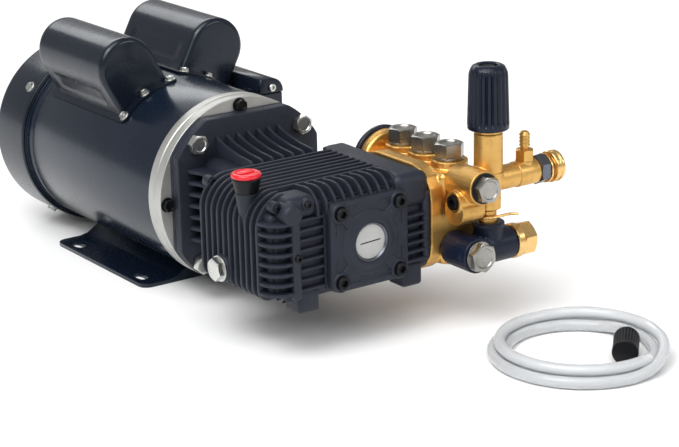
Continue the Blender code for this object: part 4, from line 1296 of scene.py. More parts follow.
@dataclass
class MotorCase:
    """Rolled shell, machined bell, rear bell, fan cover and their screws."""

    shell_radius: float = 0.081
    shell_bore: float = 0.0785
    rim_radius: float = 0.082
    cover_radius: float = 0.086
    segments: int = 144
    tie_radius: float = 0.0752
    slots: int = 24
    cover_screw_angles: tuple[float, ...] = (-52, 52, 128, -128)

    def build(self) -> None:
        """Make the case."""
        axis = aimed(SHAFT, FRONT)
        self._shell(axis)
        self._bells(axis)
        self._fan_cover(axis)
        self._tie_bolts()

    def _shell(self, axis: Matrix) -> None:
        """Roll the shell.

        Args:
            axis: the shaft's placement.
        """
        low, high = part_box("motor_shell")
        front, back = -low.y, -high.y
        outer, inner = self.shell_radius, self.shell_bore
        shell = Shape("motor_shell_rolled")
        shell.lathe([(outer, front), (outer, back), (inner, back), (inner, front)], axis, self.segments,
                    0.0006, closed=True)
        shell.piece(ENAMEL, nodes=["motor_shell"], slot="motor_paint")

    def _bells(self, axis: Matrix) -> None:
        """Turn the machined front bell and the painted rear bell.

        Args:
            axis: the shaft's placement.
        """
        low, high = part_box("front_end_bell")
        front, joint = 0.130, 0.110
        spigot = self.shell_bore - 0.0003
        bell = Shape("front_bell_turned")
        outline = [(0.010, -low.y), (0.05715, -low.y), (0.05715, front), (self.rim_radius, front),
                   (self.rim_radius, 0.1215), (self.rim_radius - 0.0007, 0.1205),
                   (self.rim_radius - 0.0007, 0.1195), (self.rim_radius, 0.1185), (self.rim_radius, joint),
                   (spigot, joint), (spigot, -high.y), (0.074, -high.y), (0.074, 0.118), (0.030, 0.118),
                   (0.030, -high.y), (0.0202, -high.y), (0.0202, 0.113), (0.010, 0.113)]
        bell.lathe(outline, axis, self.segments, 0.0007, closed=True)
        bell.piece(RIM, nodes=["front_end_bell"], slot="machined_aluminium")
        rear = Shape("rear_bell_turned")
        outline = [(0.0202, -0.096), (0.028, -0.096), (0.028, -0.106), (spigot, -0.106), (spigot, -0.1063),
                   (self.shell_radius, -0.1063), (self.shell_radius, -0.117), (0.0836, -0.117),
                   (0.0836, -0.128), (0.080, -0.128), (0.080, -0.118), (0.010, -0.118), (0.010, -0.1105),
                   (0.0202, -0.1105)]
        rear.lathe(outline, axis, self.segments, 0.0005, closed=True)
        rear.piece(ENAMEL, nodes=["rear_end_bell"], slot="motor_paint")

    def _fan_cover(self, axis: Matrix) -> None:
        """Press the fan cover, with its grille and radial screws.

        Args:
            axis: the shaft's placement.
        """
        low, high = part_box("fan_cover")
        front, back = -low.y, -high.y
        outer = self.cover_radius
        side = Shape("fan_cover_pressed")
        outline = [(0.0700, back), (outer - 0.0095, back), (outer - 0.0030, back + 0.0030),
                   (outer, back + 0.0095), (outer, front - 0.0020), (outer - 0.0008, front),
                   (outer - 0.0020, front), (outer - 0.0018, back + 0.0110), (outer - 0.0045, back + 0.0048),
                   (outer - 0.0100, back + 0.0018), (0.0700, back + 0.0018)]
        side.lathe(outline, axis, self.segments, 0.0016, closed=True, steps=4)
        holes = []
        for i in range(self.slots):
            turn = math.tau * (i + 0.5) / self.slots
            run = rounded((0.026, -0.0024), (0.0655, 0.0024), 0.0023, 3)
            if i % 2:
                run = rounded((0.040, -0.0024), (0.0655, 0.0024), 0.0023, 3)
            holes.append([(u * math.cos(turn) - v * math.sin(turn), u * math.sin(turn) + v * math.cos(turn))
                          for u, v in run])
        grille_place = aimed(SHAFT + BACK * (-back - 0.0009), BACK)
        side.plate(arc((0, 0), 0.0702, 0, 357.5, 143), 0.0018, grille_place, 0.0003, holes)
        side.piece(COVER_ENAMEL, nodes=["fan_cover"], slot="cover_paint")
        screw = Shape("fan_cover_screws")
        screw.hexagon(0.0072, 0.0030, aimed((0, 0, outer), UP))
        screw.disc(0.0052, 0.0009, aimed((0, 0, outer - 0.0002), UP), 28, 0.0002)
        first = math.radians(self.cover_screw_angles[0])
        mesh = grown(screw.mesh(), repeat_tree(), ZINC, Count=4, Center=(0, 0.129, SHAFT.z),
                     Turn=(0, QUARTER, 0), First_Turn=(0, first, 0))
        settle(make_object("fan_cover_screws", mesh), ZINC, BASE)

    def _tie_bolts(self) -> None:
        """Set the four through bolts' heads in the corners of the flange."""
        bolt = Shape("tie_bolts")
        bolt.hexagon(0.0095, 0.0052, aimed((0, -0.1305, self.tie_radius), FRONT), 0.0006)
        bolt.disc(0.0064, 0.0010, aimed((0, -0.1300, self.tie_radius), FRONT), 28, 0.0002)
        repeated(bolt, OXIDE, 4, SHAFT, turn=(0, QUARTER, 0))


@dataclass
class CapacitorCover:
    """Pressed arched cover with its rolled foot, one of two."""

    name: str
    node: str
    turn: float
    front: float
    radius: float = 0.0275
    arch: float = 0.110
    length: float = 0.120
    seat: float = 0.0813
    corner: float = 0.0050
    screw_angles: tuple[float, ...] = (-19.0, 0.0, 19.0)
    foot_half_angle: float = 23.5
    foot_thickness: float = 0.0018
    panel: tuple[float, float] = (0.0945, 0.0085)

    def _section(self, inset: float, press: float) -> list[tuple[float, float]]:
        """Return one closed section.

        Args:
            inset: how far it is drawn in.
            press: how deep the side panels are pressed, 0 to 1.

        Returns:
            Its points, across and up from the shaft.
        """
        reach = self.radius - inset
        low_angle = math.asin(reach / (self.seat - 0.001))
        low = (self.seat - 0.001) * math.cos(low_angle)
        points = []
        side_steps = 16
        for i in range(side_steps):
            height = low + (self.arch - low) * i / side_steps
            depth = 0.0010 * press * self._band(height)
            points.append((reach - depth, height))
        points += arc((0, self.arch), reach, 0, 180, 40)
        for i in range(side_steps, 0, -1):
            height = low + (self.arch - low) * (i - 1) / side_steps
            depth = 0.0010 * press * self._band(height)
            points.append((-reach + depth, height))
        bottom = 12
        for i in range(1, bottom):
            angle = -low_angle + 2 * low_angle * i / bottom
            points.append(((self.seat - 0.001) * math.sin(angle), (self.seat - 0.001) * math.cos(angle)))
        return points

    def _band(self, height: float) -> float:
        """Return how much a height lies within the pressed panel's edges.

        Args:
            height: the height above the shaft.

        Returns:
            The share, 0 to 1.
        """
        middle_height, half = self.panel
        distance = abs(height - middle_height) / half
        return 1.0 if distance < 0.75 else max(0.0, 1 - (distance - 0.75) * 3)

    def build(self) -> None:
        """Make the cover, its foot and its screws."""
        back = self.front + self.length
        place = Matrix.Translation(SHAFT) @ Matrix.Rotation(math.radians(self.turn), 4, "Y")
        front_rows = [(self.front + self.corner - self.corner * math.sin(math.radians(15 * k)),
                       self.corner * (1 - math.cos(math.radians(15 * k)))) for k in range(6, -1, -1)]
        inner_rows = [(self.front + self.corner + (self.length - 2 * self.corner) * i / 30, 0.0)
                      for i in range(1, 30)]
        back_rows = [(self.front + back - y, inset) for y, inset in reversed(front_rows)]
        body = Shape(self.name)
        rows = []
        for y, inset in front_rows + inner_rows + back_rows:
            edge = min(y - self.front - 0.016, back - 0.016 - y) / 0.003
            press = min(max(edge, 0.0), 1.0)
            rows.append([place @ Vector((u, y, w)) for u, w in self._section(inset, press)])
        body.loft(rows)
        flange = []
        for y, drop in ((self.front - 0.008, 3.0), (self.front - 0.0066, 1.2), (self.front - 0.0045, 0.0),
                        (back + 0.0045, 0.0), (back + 0.0066, 1.2), (back + 0.008, 3.0)):
            reach = self.foot_half_angle - drop
            run = arc((0, 0), self.seat + self.foot_thickness, 90 - reach, 90 + reach, 24)
            run += arc((0, 0), self.seat, 90 + reach, 90 - reach, 24)
            flange.append([place @ Vector((u, y, w)) for u, w in run])
        body.loft(flange)
        body.piece(COVER_ENAMEL, nodes=[self.node], slot="cover_paint", smooth=40)
        screw = Shape(self.name + "_screws")
        top = self.seat + self.foot_thickness
        screw.disc(0.0046, 0.0007, aimed((0, 0, top), UP), 24, 0.0002)
        screw.hexagon(0.0064, 0.0028, aimed((0, 0, top + 0.0006), UP), 0.0005)
        angles = [math.radians(self.turn + a) for a in self.screw_angles]
        repeated(screw, ZINC, len(angles), at(0, self.front - 0.0042, 0), turn=(0, angles[1] - angles[0], 0),
                 first=(0, angles[0], 0))


@dataclass
class MotorTrim:
    """Foot, conduit box and its lid."""

    lid_screw_x: float = 0.0862

    def build(self) -> None:
        """Make the foot, the box and the lid."""
        dressed("motor_foot", 0.0012, segments=3, angle=20)
        dressed("conduit_box", 0.0016, segments=3, angle=40)
        dressed("conduit_box_lid", 0.0010, segments=2, angle=40)
        low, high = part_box("conduit_box_lid")
        screw = Shape("lid_screw")
        screw.socket_screw(0.0036, 0.0026, aimed((self.lid_screw_x, low.y - 0.0001, high.z - 0.0085), FRONT))
        screw.piece(ZINC)


@dataclass
class Adaptor:
    """Square flange with its ribbed neck and the four hexagon bolts to the motor."""

    bolt_size: float = 0.0152
    face: float = -0.144
    neck_rib_pitch: float = 0.0103
    side_rib_pitch: float = 0.0100

    def build(self) -> None:
        """Make the flange and its bolts."""
        self._casting()
        self._bolts()

    def _casting(self) -> None:
        """Cast the flange, the neck and the neck's ribs."""
        rim, half, back, end = 0.082, 0.071, -0.1303, -0.1997
        corner = math.degrees(math.acos(half / rim))
        outline: list[tuple[float, float]] = []
        for quarter in range(4):
            outline += arc((0, 0), rim, 90 * quarter + corner, 90 * quarter + 90 - corner, 12)
        casting = Shape("flange_adaptor_cast")
        bore = arc((0, 0), 0.028, 0, 352.5, 47)
        register = arc((0, 0), 0.0580, 0, 357, 119)
        casting.plate(softened(outline, 0.0025, 3, True), 0.0038, aimed(SHAFT + BACK * (back - 0.0019),
                                                                        FRONT), 0.0006, [register])
        casting.plate(softened(outline, 0.0025, 3, True), back - 0.0036 - self.face,
                      aimed(SHAFT + BACK * ((back - 0.0036 + self.face) / 2), FRONT), 0.0012, [bore])
        neck = rounded((-0.048, -0.036), (0.048, 0.038), 0.012, 8)
        casting.plate(neck, self.face - end + 0.002, aimed(SHAFT + BACK * ((self.face + end) / 2 + 0.001),
                                                           FRONT), 0.0010, [bore])
        casting.piece(CHARCOAL, nodes=["flange_adaptor"], slot="cast_charcoal", smooth=40)
        rib = Shape("neck_ribs")
        profile = [(end + 0.0004, 0.0340), (end + 0.0004, 0.0452), (-0.178, 0.0466), (-0.160, 0.0500),
                   (-0.150, 0.0530), (-0.1430, 0.0570), (-0.1430, 0.0340)]
        rib.plate(softened(profile, 0.004, 4, True), 0.0030, aimed((0, 0, 0), RIGHT), 0.0008)
        repeated(rib, CHARCOAL, 7, at(-0.0320, 0, 0), (self.neck_rib_pitch, 0, 0))
        side = Shape("neck_side_ribs")
        profile = [(end + 0.0004, -0.0440), (end + 0.0004, -0.0550), (-0.178, -0.0560), (-0.155, -0.0585),
                   (-0.1430, -0.0640), (-0.1430, -0.0440)]
        side.plate([(v, u) for u, v in softened(profile, 0.004, 4, True)], 0.0030, Matrix(), 0.0008)
        repeated(side, CHARCOAL, 7, at(0, 0, -0.0300), (0, 0, self.side_rib_pitch))

    def _bolts(self) -> None:
        """Set the four hexagon bolts."""
        nodes = ["flange_bolt_%d" % number for number in range(1, 5)]
        low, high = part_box(nodes[0])
        center = Vector(((low.x + high.x) / 2, self.face, (low.z + high.z) / 2)) - Vector((0, self.face,
                                                                                           SHAFT.z))
        bolt = Shape("flange_bolts")
        head = aimed(center + FRONT * (-self.face + 0.0011), FRONT, 0.35)
        bolt.hexagon(self.bolt_size, 0.0060, head, 0.0009)
        seat = aimed(center + FRONT * (-self.face + 0.0003), FRONT)
        bolt.band(0.0040, 0.0074, 0, 0.0012, seat, 40, 0.0002)
        bolt.disc(0.0045, high.y - self.face, aimed(center + BACK * self.face, BACK), 24, 0.0003)
        repeated(bolt, ZINC, 4, SHAFT, turn=(0, QUARTER, 0), nodes=nodes)


@dataclass
class Crankcase:
    """Finned crankcase casting with its bosses, feet and seam screws."""

    back: float = -0.2003
    front: float = -0.312
    cavity_back: float = -0.2135
    cavity_front: float = -0.3086
    left: float = -0.092
    right: float = 0.064
    top: float = 0.047
    bottom: float = -0.038
    cylinders: tuple[float, ...] = CYLINDERS
    fin_count: int = 9
    corner_fins: int = 3
    fin_pitch: float = 0.00825
    fin_thickness: float = 0.0032
    front_pitch: float = 0.0082
    right_pitch: float = 0.0076
    rib_pitch: float = 0.0086
    seam_screws: tuple[float, ...] = (-0.2085, -0.3030)

    def facing(self, y: float) -> Matrix:
        """Return the placement of an upright section at a station."""
        return aimed(SHAFT + BACK * y, FRONT)

    def level(self, height: float) -> Matrix:
        """Return the placement of a level section at a height."""
        return Matrix.Translation(at(0, 0, height))

    def slab(self, shape: Shape, outline: Sequence[Sequence[float]], start: float, end: float, edge: float,
             holes: Sequence[Sequence[Sequence[float]]] = ()) -> None:
        """Extrude an upright outline between two stations along the shaft."""
        shape.plate(outline, abs(end - start), self.facing((start + end) / 2), edge, holes)

    def build(self) -> None:
        """Make the casting, its fins and ribs, and its screws."""
        self._core()
        self._wrap_fins()
        self._front_fins()
        self._arched_ribs()
        self._bosses()
        self._screws()

    def _core(self) -> None:
        """Cast the walls round the crank chamber."""
        case = Shape("crankcase_cast")
        corner = arc((-0.060, 0.016), 0.023, 90, 180, 10)
        body = [(self.right, -0.024), (self.right, 0.041), (0.0585, self.top - 0.0003),
                (0.040, self.top - 0.0003), (0.037, 0.039), *corner, (-0.083, -0.028), (-0.073, self.bottom),
                (0.044, self.bottom), (0.058, -0.030)]
        bearing = arc((0, 0), 0.0237, 0, 352.5, 47)
        self.slab(case, softened(body, 0.003, 3, True), self.back, self.cavity_back - 0.0002, 0.0010,
                  [bearing])
        walls = [(0.0445, 0.0325), (0.0445, 0.039), *corner, (-0.083, -0.028), (-0.073, self.bottom),
                 (0.0445, self.bottom), (0.0445, -0.0325), (-0.070, -0.0325), (-0.070, 0.0325)]
        self.slab(case, walls, self.cavity_back, self.cavity_front + 0.0006, 0.0004)
        front = [(0.060, -0.028), (0.060, 0.026), (0.0565, 0.0335), (-0.064, 0.0335), (-0.078, 0.024),
                 (-0.081, -0.026), (-0.070, self.bottom + 0.001), (0.050, self.bottom + 0.001)]
        pocket = arc((0, 0), 0.0185, 0, 352.5, 47)
        self.slab(case, softened(front, 0.004, 3, True), self.cavity_front, self.front + 0.0046, 0.0003,
                  [pocket])
        seat = rounded((-0.0395, -0.0375), (0.0395, 0.0375), 0.009, 6)
        self.slab(case, seat, self.cavity_front, self.front, 0.0008, [pocket])
        bores = [[(y + u, v) for u, v in arc((0, 0), 0.0118, 0, 345, 23)] for y in self.cylinders]
        side = rounded((self.front + 0.0022, self.bottom + 0.001), (self.back - 0.0004, self.top - 0.006),
                       0.005, 6)
        case.plate(side, self.right - 0.044, aimed(((self.right + 0.044) / 2, 0, SHAFT.z), RIGHT), 0.0012,
                   bores)
        shoulder = [(0.0362, 0.0325), (0.0362, self.top - 0.0010), (0.0380, self.top), (0.0560, self.top),
                    (0.0625, self.top - 0.0030), (self.right, self.top - 0.0085), (self.right, 0.0325)]
        self.slab(case, softened(shoulder, 0.003, 5, True), self.back, self.front + 0.0005, 0.0030)
        case.block(at(0.0290, self.front - 0.0034, 0.0175), at(self.right, -0.290, self.top - 0.0004), 0.0080,
                   segments=6)
        case.block(at(0.0565, self.front - 0.0034, -0.0300), at(self.right, -0.290, 0.030), 0.0034,
                   segments=4)
        case.piece(CHARCOAL, nodes=["crankcase"], slot="cast_charcoal", smooth=40)

    def _wrap_fins(self) -> None:
        """Cast the fins that wrap over the top and down the left."""
        fin = Shape("wrap_fins")
        outline = [(0.0385, 0.0330), (0.0385, self.top), *arc((-0.066, 0.021), 0.026, 90, 180, 16),
                   (self.left, -0.026), *arc((self.left + 0.010, -0.028), 0.010, 180, 262, 6),
                   (-0.070, self.bottom), (-0.070, 0.0330)]
        fin.plate(outline, self.fin_thickness, aimed((0, 0, 0), FRONT), 0.0010)
        start = -0.2107 - self.fin_thickness / 2
        repeated(fin, CHARCOAL, self.fin_count, at(0, start, 0), (0, -self.fin_pitch, 0))
        short = Shape("corner_fins")
        outline = [(-0.0655, 0.0330), (-0.0655, self.top), *outline[2:-1], (-0.070, 0.0330)]
        short.plate(outline, self.fin_thickness, aimed((0, 0, 0), FRONT), 0.0010)
        after = start - self.fin_pitch * self.fin_count
        repeated(short, CHARCOAL, self.corner_fins - 1, at(0, after, 0), (0, -self.fin_pitch, 0))
        under = Shape("under_fins")
        under.plate([(-0.070, self.bottom + 0.003), (-0.0745, self.bottom - 0.0018),
                     (0.036, self.bottom - 0.0018), (0.036, self.bottom + 0.003)], self.fin_thickness,
                    aimed((0, 0, 0), FRONT), 0.0007)
        repeated(under, CHARCOAL, self.fin_count + self.corner_fins, at(0, start, 0), (0, -self.fin_pitch, 0))

    def _front_fins(self) -> None:
        """Cast the level fins on both sides of the bearing cover."""
        front = self.front
        left = Shape("left_fins")
        corner = arc((self.left + 0.0165, front + 0.0124), 0.0160, 180, 270, 10)
        left.plate([(-0.0640, front - 0.0036), (-0.0640, -0.296), (self.left + 0.0005, -0.296), *corner],
                   0.0029, Matrix(), 0.0010)
        repeated(left, CHARCOAL, 8, at(0, 0, -0.0302), (0, 0, self.front_pitch))
        inner = Shape("inner_fins")
        inner.plate([(-0.0385, front - 0.0006), (-0.0385, -0.300), (-0.0650, -0.300),
                     (-0.0650, front - 0.0006)], 0.0026, Matrix(), 0.0009)
        repeated(inner, CHARCOAL, 8, at(0, 0, -0.0302), (0, 0, self.front_pitch))
        right = Shape("right_fins")
        right.plate([(0.0370, front - 0.0040), (0.0590, front - 0.0036), (0.0590, -0.300), (0.0370, -0.300)],
                    0.0026, Matrix(), 0.0009)
        repeated(right, CHARCOAL, 6, at(0, 0, -0.0268), (0, 0, self.right_pitch))
        core = Shape("corner_core")
        core.block(at(self.left + 0.0060, front + 0.0060, -0.0350), at(-0.0640, -0.294, 0.0345), 0.0040,
                   segments=4)
        core.piece(CHARCOAL, smooth=40)

    def _arched_ribs(self) -> None:
        """Cast the arched ribs above the bearing cover."""
        rib = Shape("arched_ribs")
        outline = [(-0.2840, 0.0340), (-0.2840, self.top + 0.0012), (-0.2955, self.top + 0.0024),
                   *arc((-0.2980, self.top - 0.0146), 0.0168, 98, 178, 12), (self.front - 0.0028, 0.0290),
                   (-0.300, 0.0290)]
        rib.plate(outline, 0.0029, aimed((0, 0, 0), RIGHT), 0.0010)
        repeated(rib, CHARCOAL, 10, at(-0.0460, 0, 0), (self.rib_pitch, 0, 0))

    def _bosses(self) -> None:
        """Cast the ridge, the seam bosses, the feet and the filler and drain bosses."""
        front = self.front
        boss = Shape("case_bosses")
        boss.block(at(-0.0718, front - 0.0050, -0.0360), at(-0.0638, -0.298, 0.0330), 0.0028, segments=4)
        boss.block(at(-0.0740, front - 0.0012, 0.0280), at(-0.0440, -0.2835, 0.0462), 0.0075, segments=5)
        boss.lathe([(0, -0.004), (0.0102, -0.004), (0.0096, 0.0150), (0.0076, 0.0192), (0, 0.0192)],
                   aimed(at(-0.0700, -0.298, 0.0335), FRONT), 48, 0.0030, steps=6)
        boss.lathe([(0, 0), (0.0052, 0), (0.0046, 0.0160), (0, 0.0160)],
                   aimed(at(-0.0560, -0.299, 0.0400), FRONT), 36, 0.0012)
        for y in self.seam_screws:
            boss.disc(0.0048, 0.0085, aimed(at(-0.0800, y + 0.004, 0.0400), FRONT), 36, 0.0008)
        for x in (-0.054, 0.048):
            for y in (-0.300, -0.214):
                boss.block(at(x - 0.010, y - 0.011, -0.0505), at(x + 0.010, y + 0.011, -0.030), 0.0032,
                           segments=4)
        mouth = aimed(at(*FILLER), UP)
        boss.lathe([(0.0020, -0.0360), (0.0040, -0.0360), (0.0092, -0.0010), (0.0092, 0), (0.0047, 0),
                    (0.0047, -0.0310)], mouth, 48, 0.0004, closed=True)
        boss.lathe([(0, 0), (0.0125, 0), (0.0115, 0.0175), (0, 0.0175)], aimed(at(-0.076, *DRAIN), -RIGHT),
                   48, 0.0014)
        boss.piece(CHARCOAL, smooth=40)

    def _screws(self) -> None:
        """Set the small socket screws of the seams."""
        screws = Shape("case_screws")
        screws.socket_screw(0.0031, 0.0026, aimed(at(-0.0678, self.front - 0.0048, -0.0010), FRONT))
        screws.socket_screw(0.0034, 0.0020, aimed(at(-0.0560, -0.3148, 0.0400), FRONT))
        for y in self.seam_screws:
            screws.socket_screw(0.0030, 0.0018, aimed(at(-0.0800, y - 0.0043, 0.0400), FRONT))
        screws.piece(OXIDE)


@dataclass
class BearingCover:
    """Front bearing cover with a raised hub, bolt bosses, sight glass and bolts."""

    half: float = 0.038
    low_half: float = 0.037
    bolt: float = 0.0285
    sight: float = 0.016
    ring: float = 0.0196
    thickness: float = 0.0066

    def build(self) -> None:
        """Make the cover, the sight glass and the bolts."""
        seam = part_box("bearing_cover")[1].y
        place = aimed(SHAFT + FRONT * (-seam + self.thickness / 2), FRONT)
        top = aimed(SHAFT + FRONT * (-seam + self.thickness), FRONT)
        cover = Shape("bearing_cover_cast")
        bolts = [(sx * self.bolt, sz * self.bolt) for sx in (-1, 1) for sz in (-1, 1)]
        window = arc((0, 0), 0.0122, 0, 354, 59)
        holes = [[(x + u, z + v) for u, v in arc((0, 0), 0.0029, 0, 345, 23)] for x, z in bolts]
        cover.plate(rounded((-self.half, -self.low_half), (self.half, self.low_half), 0.0085, 8),
                    self.thickness, place, 0.0013, [window, *holes])
        hub = [(0.0124, -0.0040), (0.0124, -0.0006), (self.sight + 0.0003, -0.0006),
               (self.sight + 0.0003, 0.0022), (self.ring - 0.0010, 0.0026), (self.ring + 0.0004, 0.0022),
               (0.0232, 0.0011), (0.0262, 0.0010), (0.0272, 0.0001), (0.0272, -0.0040)]
        cover.lathe(hub, top, 96, 0.0005, closed=True)
        for number in range(4):
            spin = Matrix.Rotation(math.radians(45 + 90 * number), 4, "Z")
            cover.block((0.0235, -0.0050, -0.0030), (0.0385, 0.0050, 0.0011), 0.0009, top @ spin, 3)
        for number in range(4):
            spin = Matrix.Rotation(math.radians(90 * number), 4, "Z")
            for shift in (-0.0165, 0.0165):
                cover.block((0.0310, shift - 0.0070, -0.0030), (0.0325, shift + 0.0070, 0.0006), 0.0005,
                            top @ spin, 2)
        for x, z in bolts:
            seat = top @ Matrix.Translation((x, z, -0.0010))
            cover.lathe([(0.0059, 0), (0.0059, 0.0026), (0.0076, 0.0026), (0.0086, 0.0014), (0.0086, 0)],
                        seat, 40, 0.0004, closed=True)
        cover.piece(CHARCOAL, nodes=["bearing_cover"], slot="cast_charcoal", smooth=40)
        self._glass(top)
        self._bolts(seam - self.thickness - 0.0004)

    def _glass(self, top: Matrix) -> None:
        """Make the sight disc, its rim and its level line.

        Args:
            top: the placement of the cover's face.
        """
        radius = self.sight
        glass = Shape("sight_disc")
        glass.lathe([(0, -0.0004), (radius - 0.0018, -0.0004), (radius - 0.0018, 0.0004), (0, 0.0004)], top,
                    64, 0.0002)
        glass.piece(DISC, nodes=["sight_glass"], slot="silver_disc")
        rim = Shape("sight_rim")
        rim.lathe([(radius - 0.0018, -0.0004), (radius, -0.0004), (radius, 0.0020), (radius - 0.0005, 0.0023),
                   (radius - 0.0018, 0.0008)], top, 64, 0.0002, closed=True)
        rim.piece(HOOP)
        line = Shape("level_line")
        line.plate(rounded((-radius * 0.62, -0.00045), (radius * 0.62, 0.00045), 0.0004, 3), 0.0004,
                   top @ Matrix.Rotation(0.05, 4, "Z") @ Matrix.Translation((0, 0, 0.0004)), 0.0001)
        line.piece(OXIDE)

    def _bolts(self, face: float) -> None:
        """Set the four socket bolts.

        Args:
            face: the station of the seats.
        """
        nodes = ["cover_bolt_%d" % number for number in range(1, 5)]
        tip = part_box(nodes[0])[1].y
        center = Vector((-self.bolt, 0, self.bolt))
        bolt = Shape("cover_bolts")
        bolt.socket_screw(0.0055, 0.0042, aimed(center + FRONT * (-face), FRONT, 0.3))
        bolt.disc(0.0023, tip - face, aimed(center + BACK * (face + 0.0001), BACK), 20, 0.0003)
        repeated(bolt, OXIDE, 4, SHAFT, turn=(0, QUARTER, 0), nodes=nodes)


@dataclass
class OilFittings:
    """Oil dipstick with its red cap, and the drain plug."""

    filler: tuple[float, float, float] = FILLER
    drain: tuple[float, float] = DRAIN

    def build(self) -> None:
        """Make the dipstick and the plug."""
        place = aimed(at(*self.filler), UP)
        stick = Shape("dipstick_body")
        stick.lathe([(0, 0.0125), (0.0112, 0.0125), (0.0116, 0.0112), (0.0092, 0.0010), (0.0092, 0.0004),
                     (0.0040, 0.0004), (0.0040, -0.008), (0.0016, -0.010), (0.0016, -0.029), (0, -0.029)],
                    place, 40)
        stick.piece(SOOT_PLASTIC, "dipstick", ["oil_dipstick"], "red_plastic")
        cap = Shape("dipstick_cap")
        cap.lathe([(0, 0.0126), (0.0116, 0.0126), (0.0122, 0.0134), (0.0122, 0.0150), (0.0112, 0.0164),
                   (0.0088, 0.0166), (0.0080, 0.0158), (0, 0.0156)], place, 56, 0.0005)
        cap.block((-0.0078, -0.0016, 0.0150), (0.0078, 0.0016, 0.0167), 0.0006, place)
        cap.piece(RED_PLASTIC, "dipstick")
        plug = Shape("drain_plug_turned")
        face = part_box("drain_plug")[0].x + 0.0065
        left = aimed(at(face, *self.drain), -RIGHT, 0.2)
        plug.hexagon(0.017, 0.0065, left, 0.0)
        plug.disc(0.0108, 0.0012, left, 40, 0.0003)
        plug.disc(0.0060, 0.0060, aimed(at(face - 0.0002, *self.drain), RIGHT), 28)
        plug.piece(ZINC, nodes=["drain_plug"], slot="zinc_plated")


class Caster:
    """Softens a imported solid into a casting, then bores its holes again."""

    def __init__(self, node: str, voxel: float, rounds: int) -> None:
        """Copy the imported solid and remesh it.

        Args:
            node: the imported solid.
            voxel: the remesh size.
            rounds: how often it is smoothed.
        """
        self.node = node
        mesh = frame["nodes"][node].data.copy()
        work = bmesh.new()
        work.from_mesh(mesh)
        bmesh.ops.remove_doubles(work, verts=work.verts, dist=WELD)
        work.to_mesh(mesh)
        work.free()
        self.carrier = make_object(node + "_cast", mesh)
        remesh = self.carrier.modifiers.new("remesh", "REMESH")
        remesh.mode = "VOXEL"
        remesh.voxel_size = voxel
        smooth = self.carrier.modifiers.new("soften", "SMOOTH")
        smooth.factor = 0.5
        smooth.iterations = rounds
        self._apply()

    def _apply(self) -> None:
        """Turn the modifiers' result into the mesh."""
        depsgraph = bpy.context.evaluated_depsgraph_get()
        mesh = bpy.data.meshes.new_from_object(self.carrier.evaluated_get(depsgraph), depsgraph=depsgraph)
        self.carrier.modifiers.clear()
        self.carrier.data = mesh

    def bore(self, runs: Sequence[tuple[Vector, Vector, float]]) -> "Caster":
        """Cut round holes, each from one point to another.

        Args:
            runs: the start, the end and the radius of each hole.

        Returns:
            The caster itself.
        """
        cutters = Shape(self.node + "_bores")
        for start, end, radius in runs:
            cutters.disc(radius, (end - start).length, aimed(start, end - start), 48, 0)
        tool = make_object(self.node + "_bores", cutters.mesh())
        step = self.carrier.modifiers.new("bores", "BOOLEAN")
        step.operation = "DIFFERENCE"
        step.solver = "EXACT"
        step.object = tool
        self._apply()
        bpy.data.objects.remove(tool, do_unlink=True)
        return self

    def piece(self, finish: Finish) -> bpy.types.Object:
        """Finish the casting as a piece that stands for its solid.

        Args:
            finish: its surface.

        Returns:
            The piece.
        """
        name = self.carrier.name
        self.carrier.data.name = name
        shade(self.carrier.data, 42)
        return settle(self.carrier, finish, frame["nodes"][self.node]["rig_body"], [self.node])


@dataclass
class BrassHead:
    """Cast brass head with valve caps and its black end cap."""

    cylinders: tuple[float, ...] = CYLINDERS
    valve_x: float = 0.0975
    top: float = 0.0465

    def build(self) -> None:
        """Make the head, the caps and the end cap."""
        casting = Caster("manifold_head", 0.0009, 5)
        bores = []
        for y in self.cylinders:
            bores.append((at(0.0620, y, 0), at(0.1085, y, 0), 0.0088))
            bores.append((at(self.valve_x, y, 0.035), at(self.valve_x, y, 0.050), 0.0086))
        casting.bore(bores).piece(BRASS)
        cap = Shape("valve_caps")
        cap.hexagon(0.022, 0.0117, aimed((0, 0, 0.0015), UP, 0.2), 0.0012)
        cap.disc(0.0122, 0.0016, aimed((0, 0, 0), UP), 48, 0.0003)
        cap.lathe([(0, -0.0092), (0.0078, -0.0092), (0.0078, 0.0005), (0, 0.0005)], aimed((0, 0, 0), UP), 32)
        pitch = self.cylinders[1] - self.cylinders[0]
        nodes = ["valve_cap_%d" % number for number in (1, 2, 3)]
        repeated(cap, NICKEL, 3, at(self.valve_x, self.cylinders[0], self.top + 0.0003), (0, pitch, 0),
                 nodes=nodes)
        low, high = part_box("head_end_cap")
        cover = Shape("end_cap_turned")
        middle_of = ((low.x + high.x) / 2, low.y, (low.z + high.z) / 2)
        cover.lathe([(0, 0.0062), (0.0290, 0.0062), (0.0302, 0.0072), (0.0302, 0.0105), (0.0282, 0.0124),
                     (0.0140, 0.0130), (0.0120, 0.0120), (0, 0.0120)], aimed(middle_of, BACK), 72, 0.0010)
        boss = Shape("end_cap_boss")
        boss.lathe([(0, -0.0040), (0.0262, -0.0040), (0.0280, -0.0020), (0.0280, 0.0060), (0, 0.0060)],
                   aimed(middle_of, BACK), 72, 0.0014)
        boss.piece(BRASS)
        cover.piece(BLACK_PLASTIC, nodes=["head_end_cap"], slot="black_plastic")


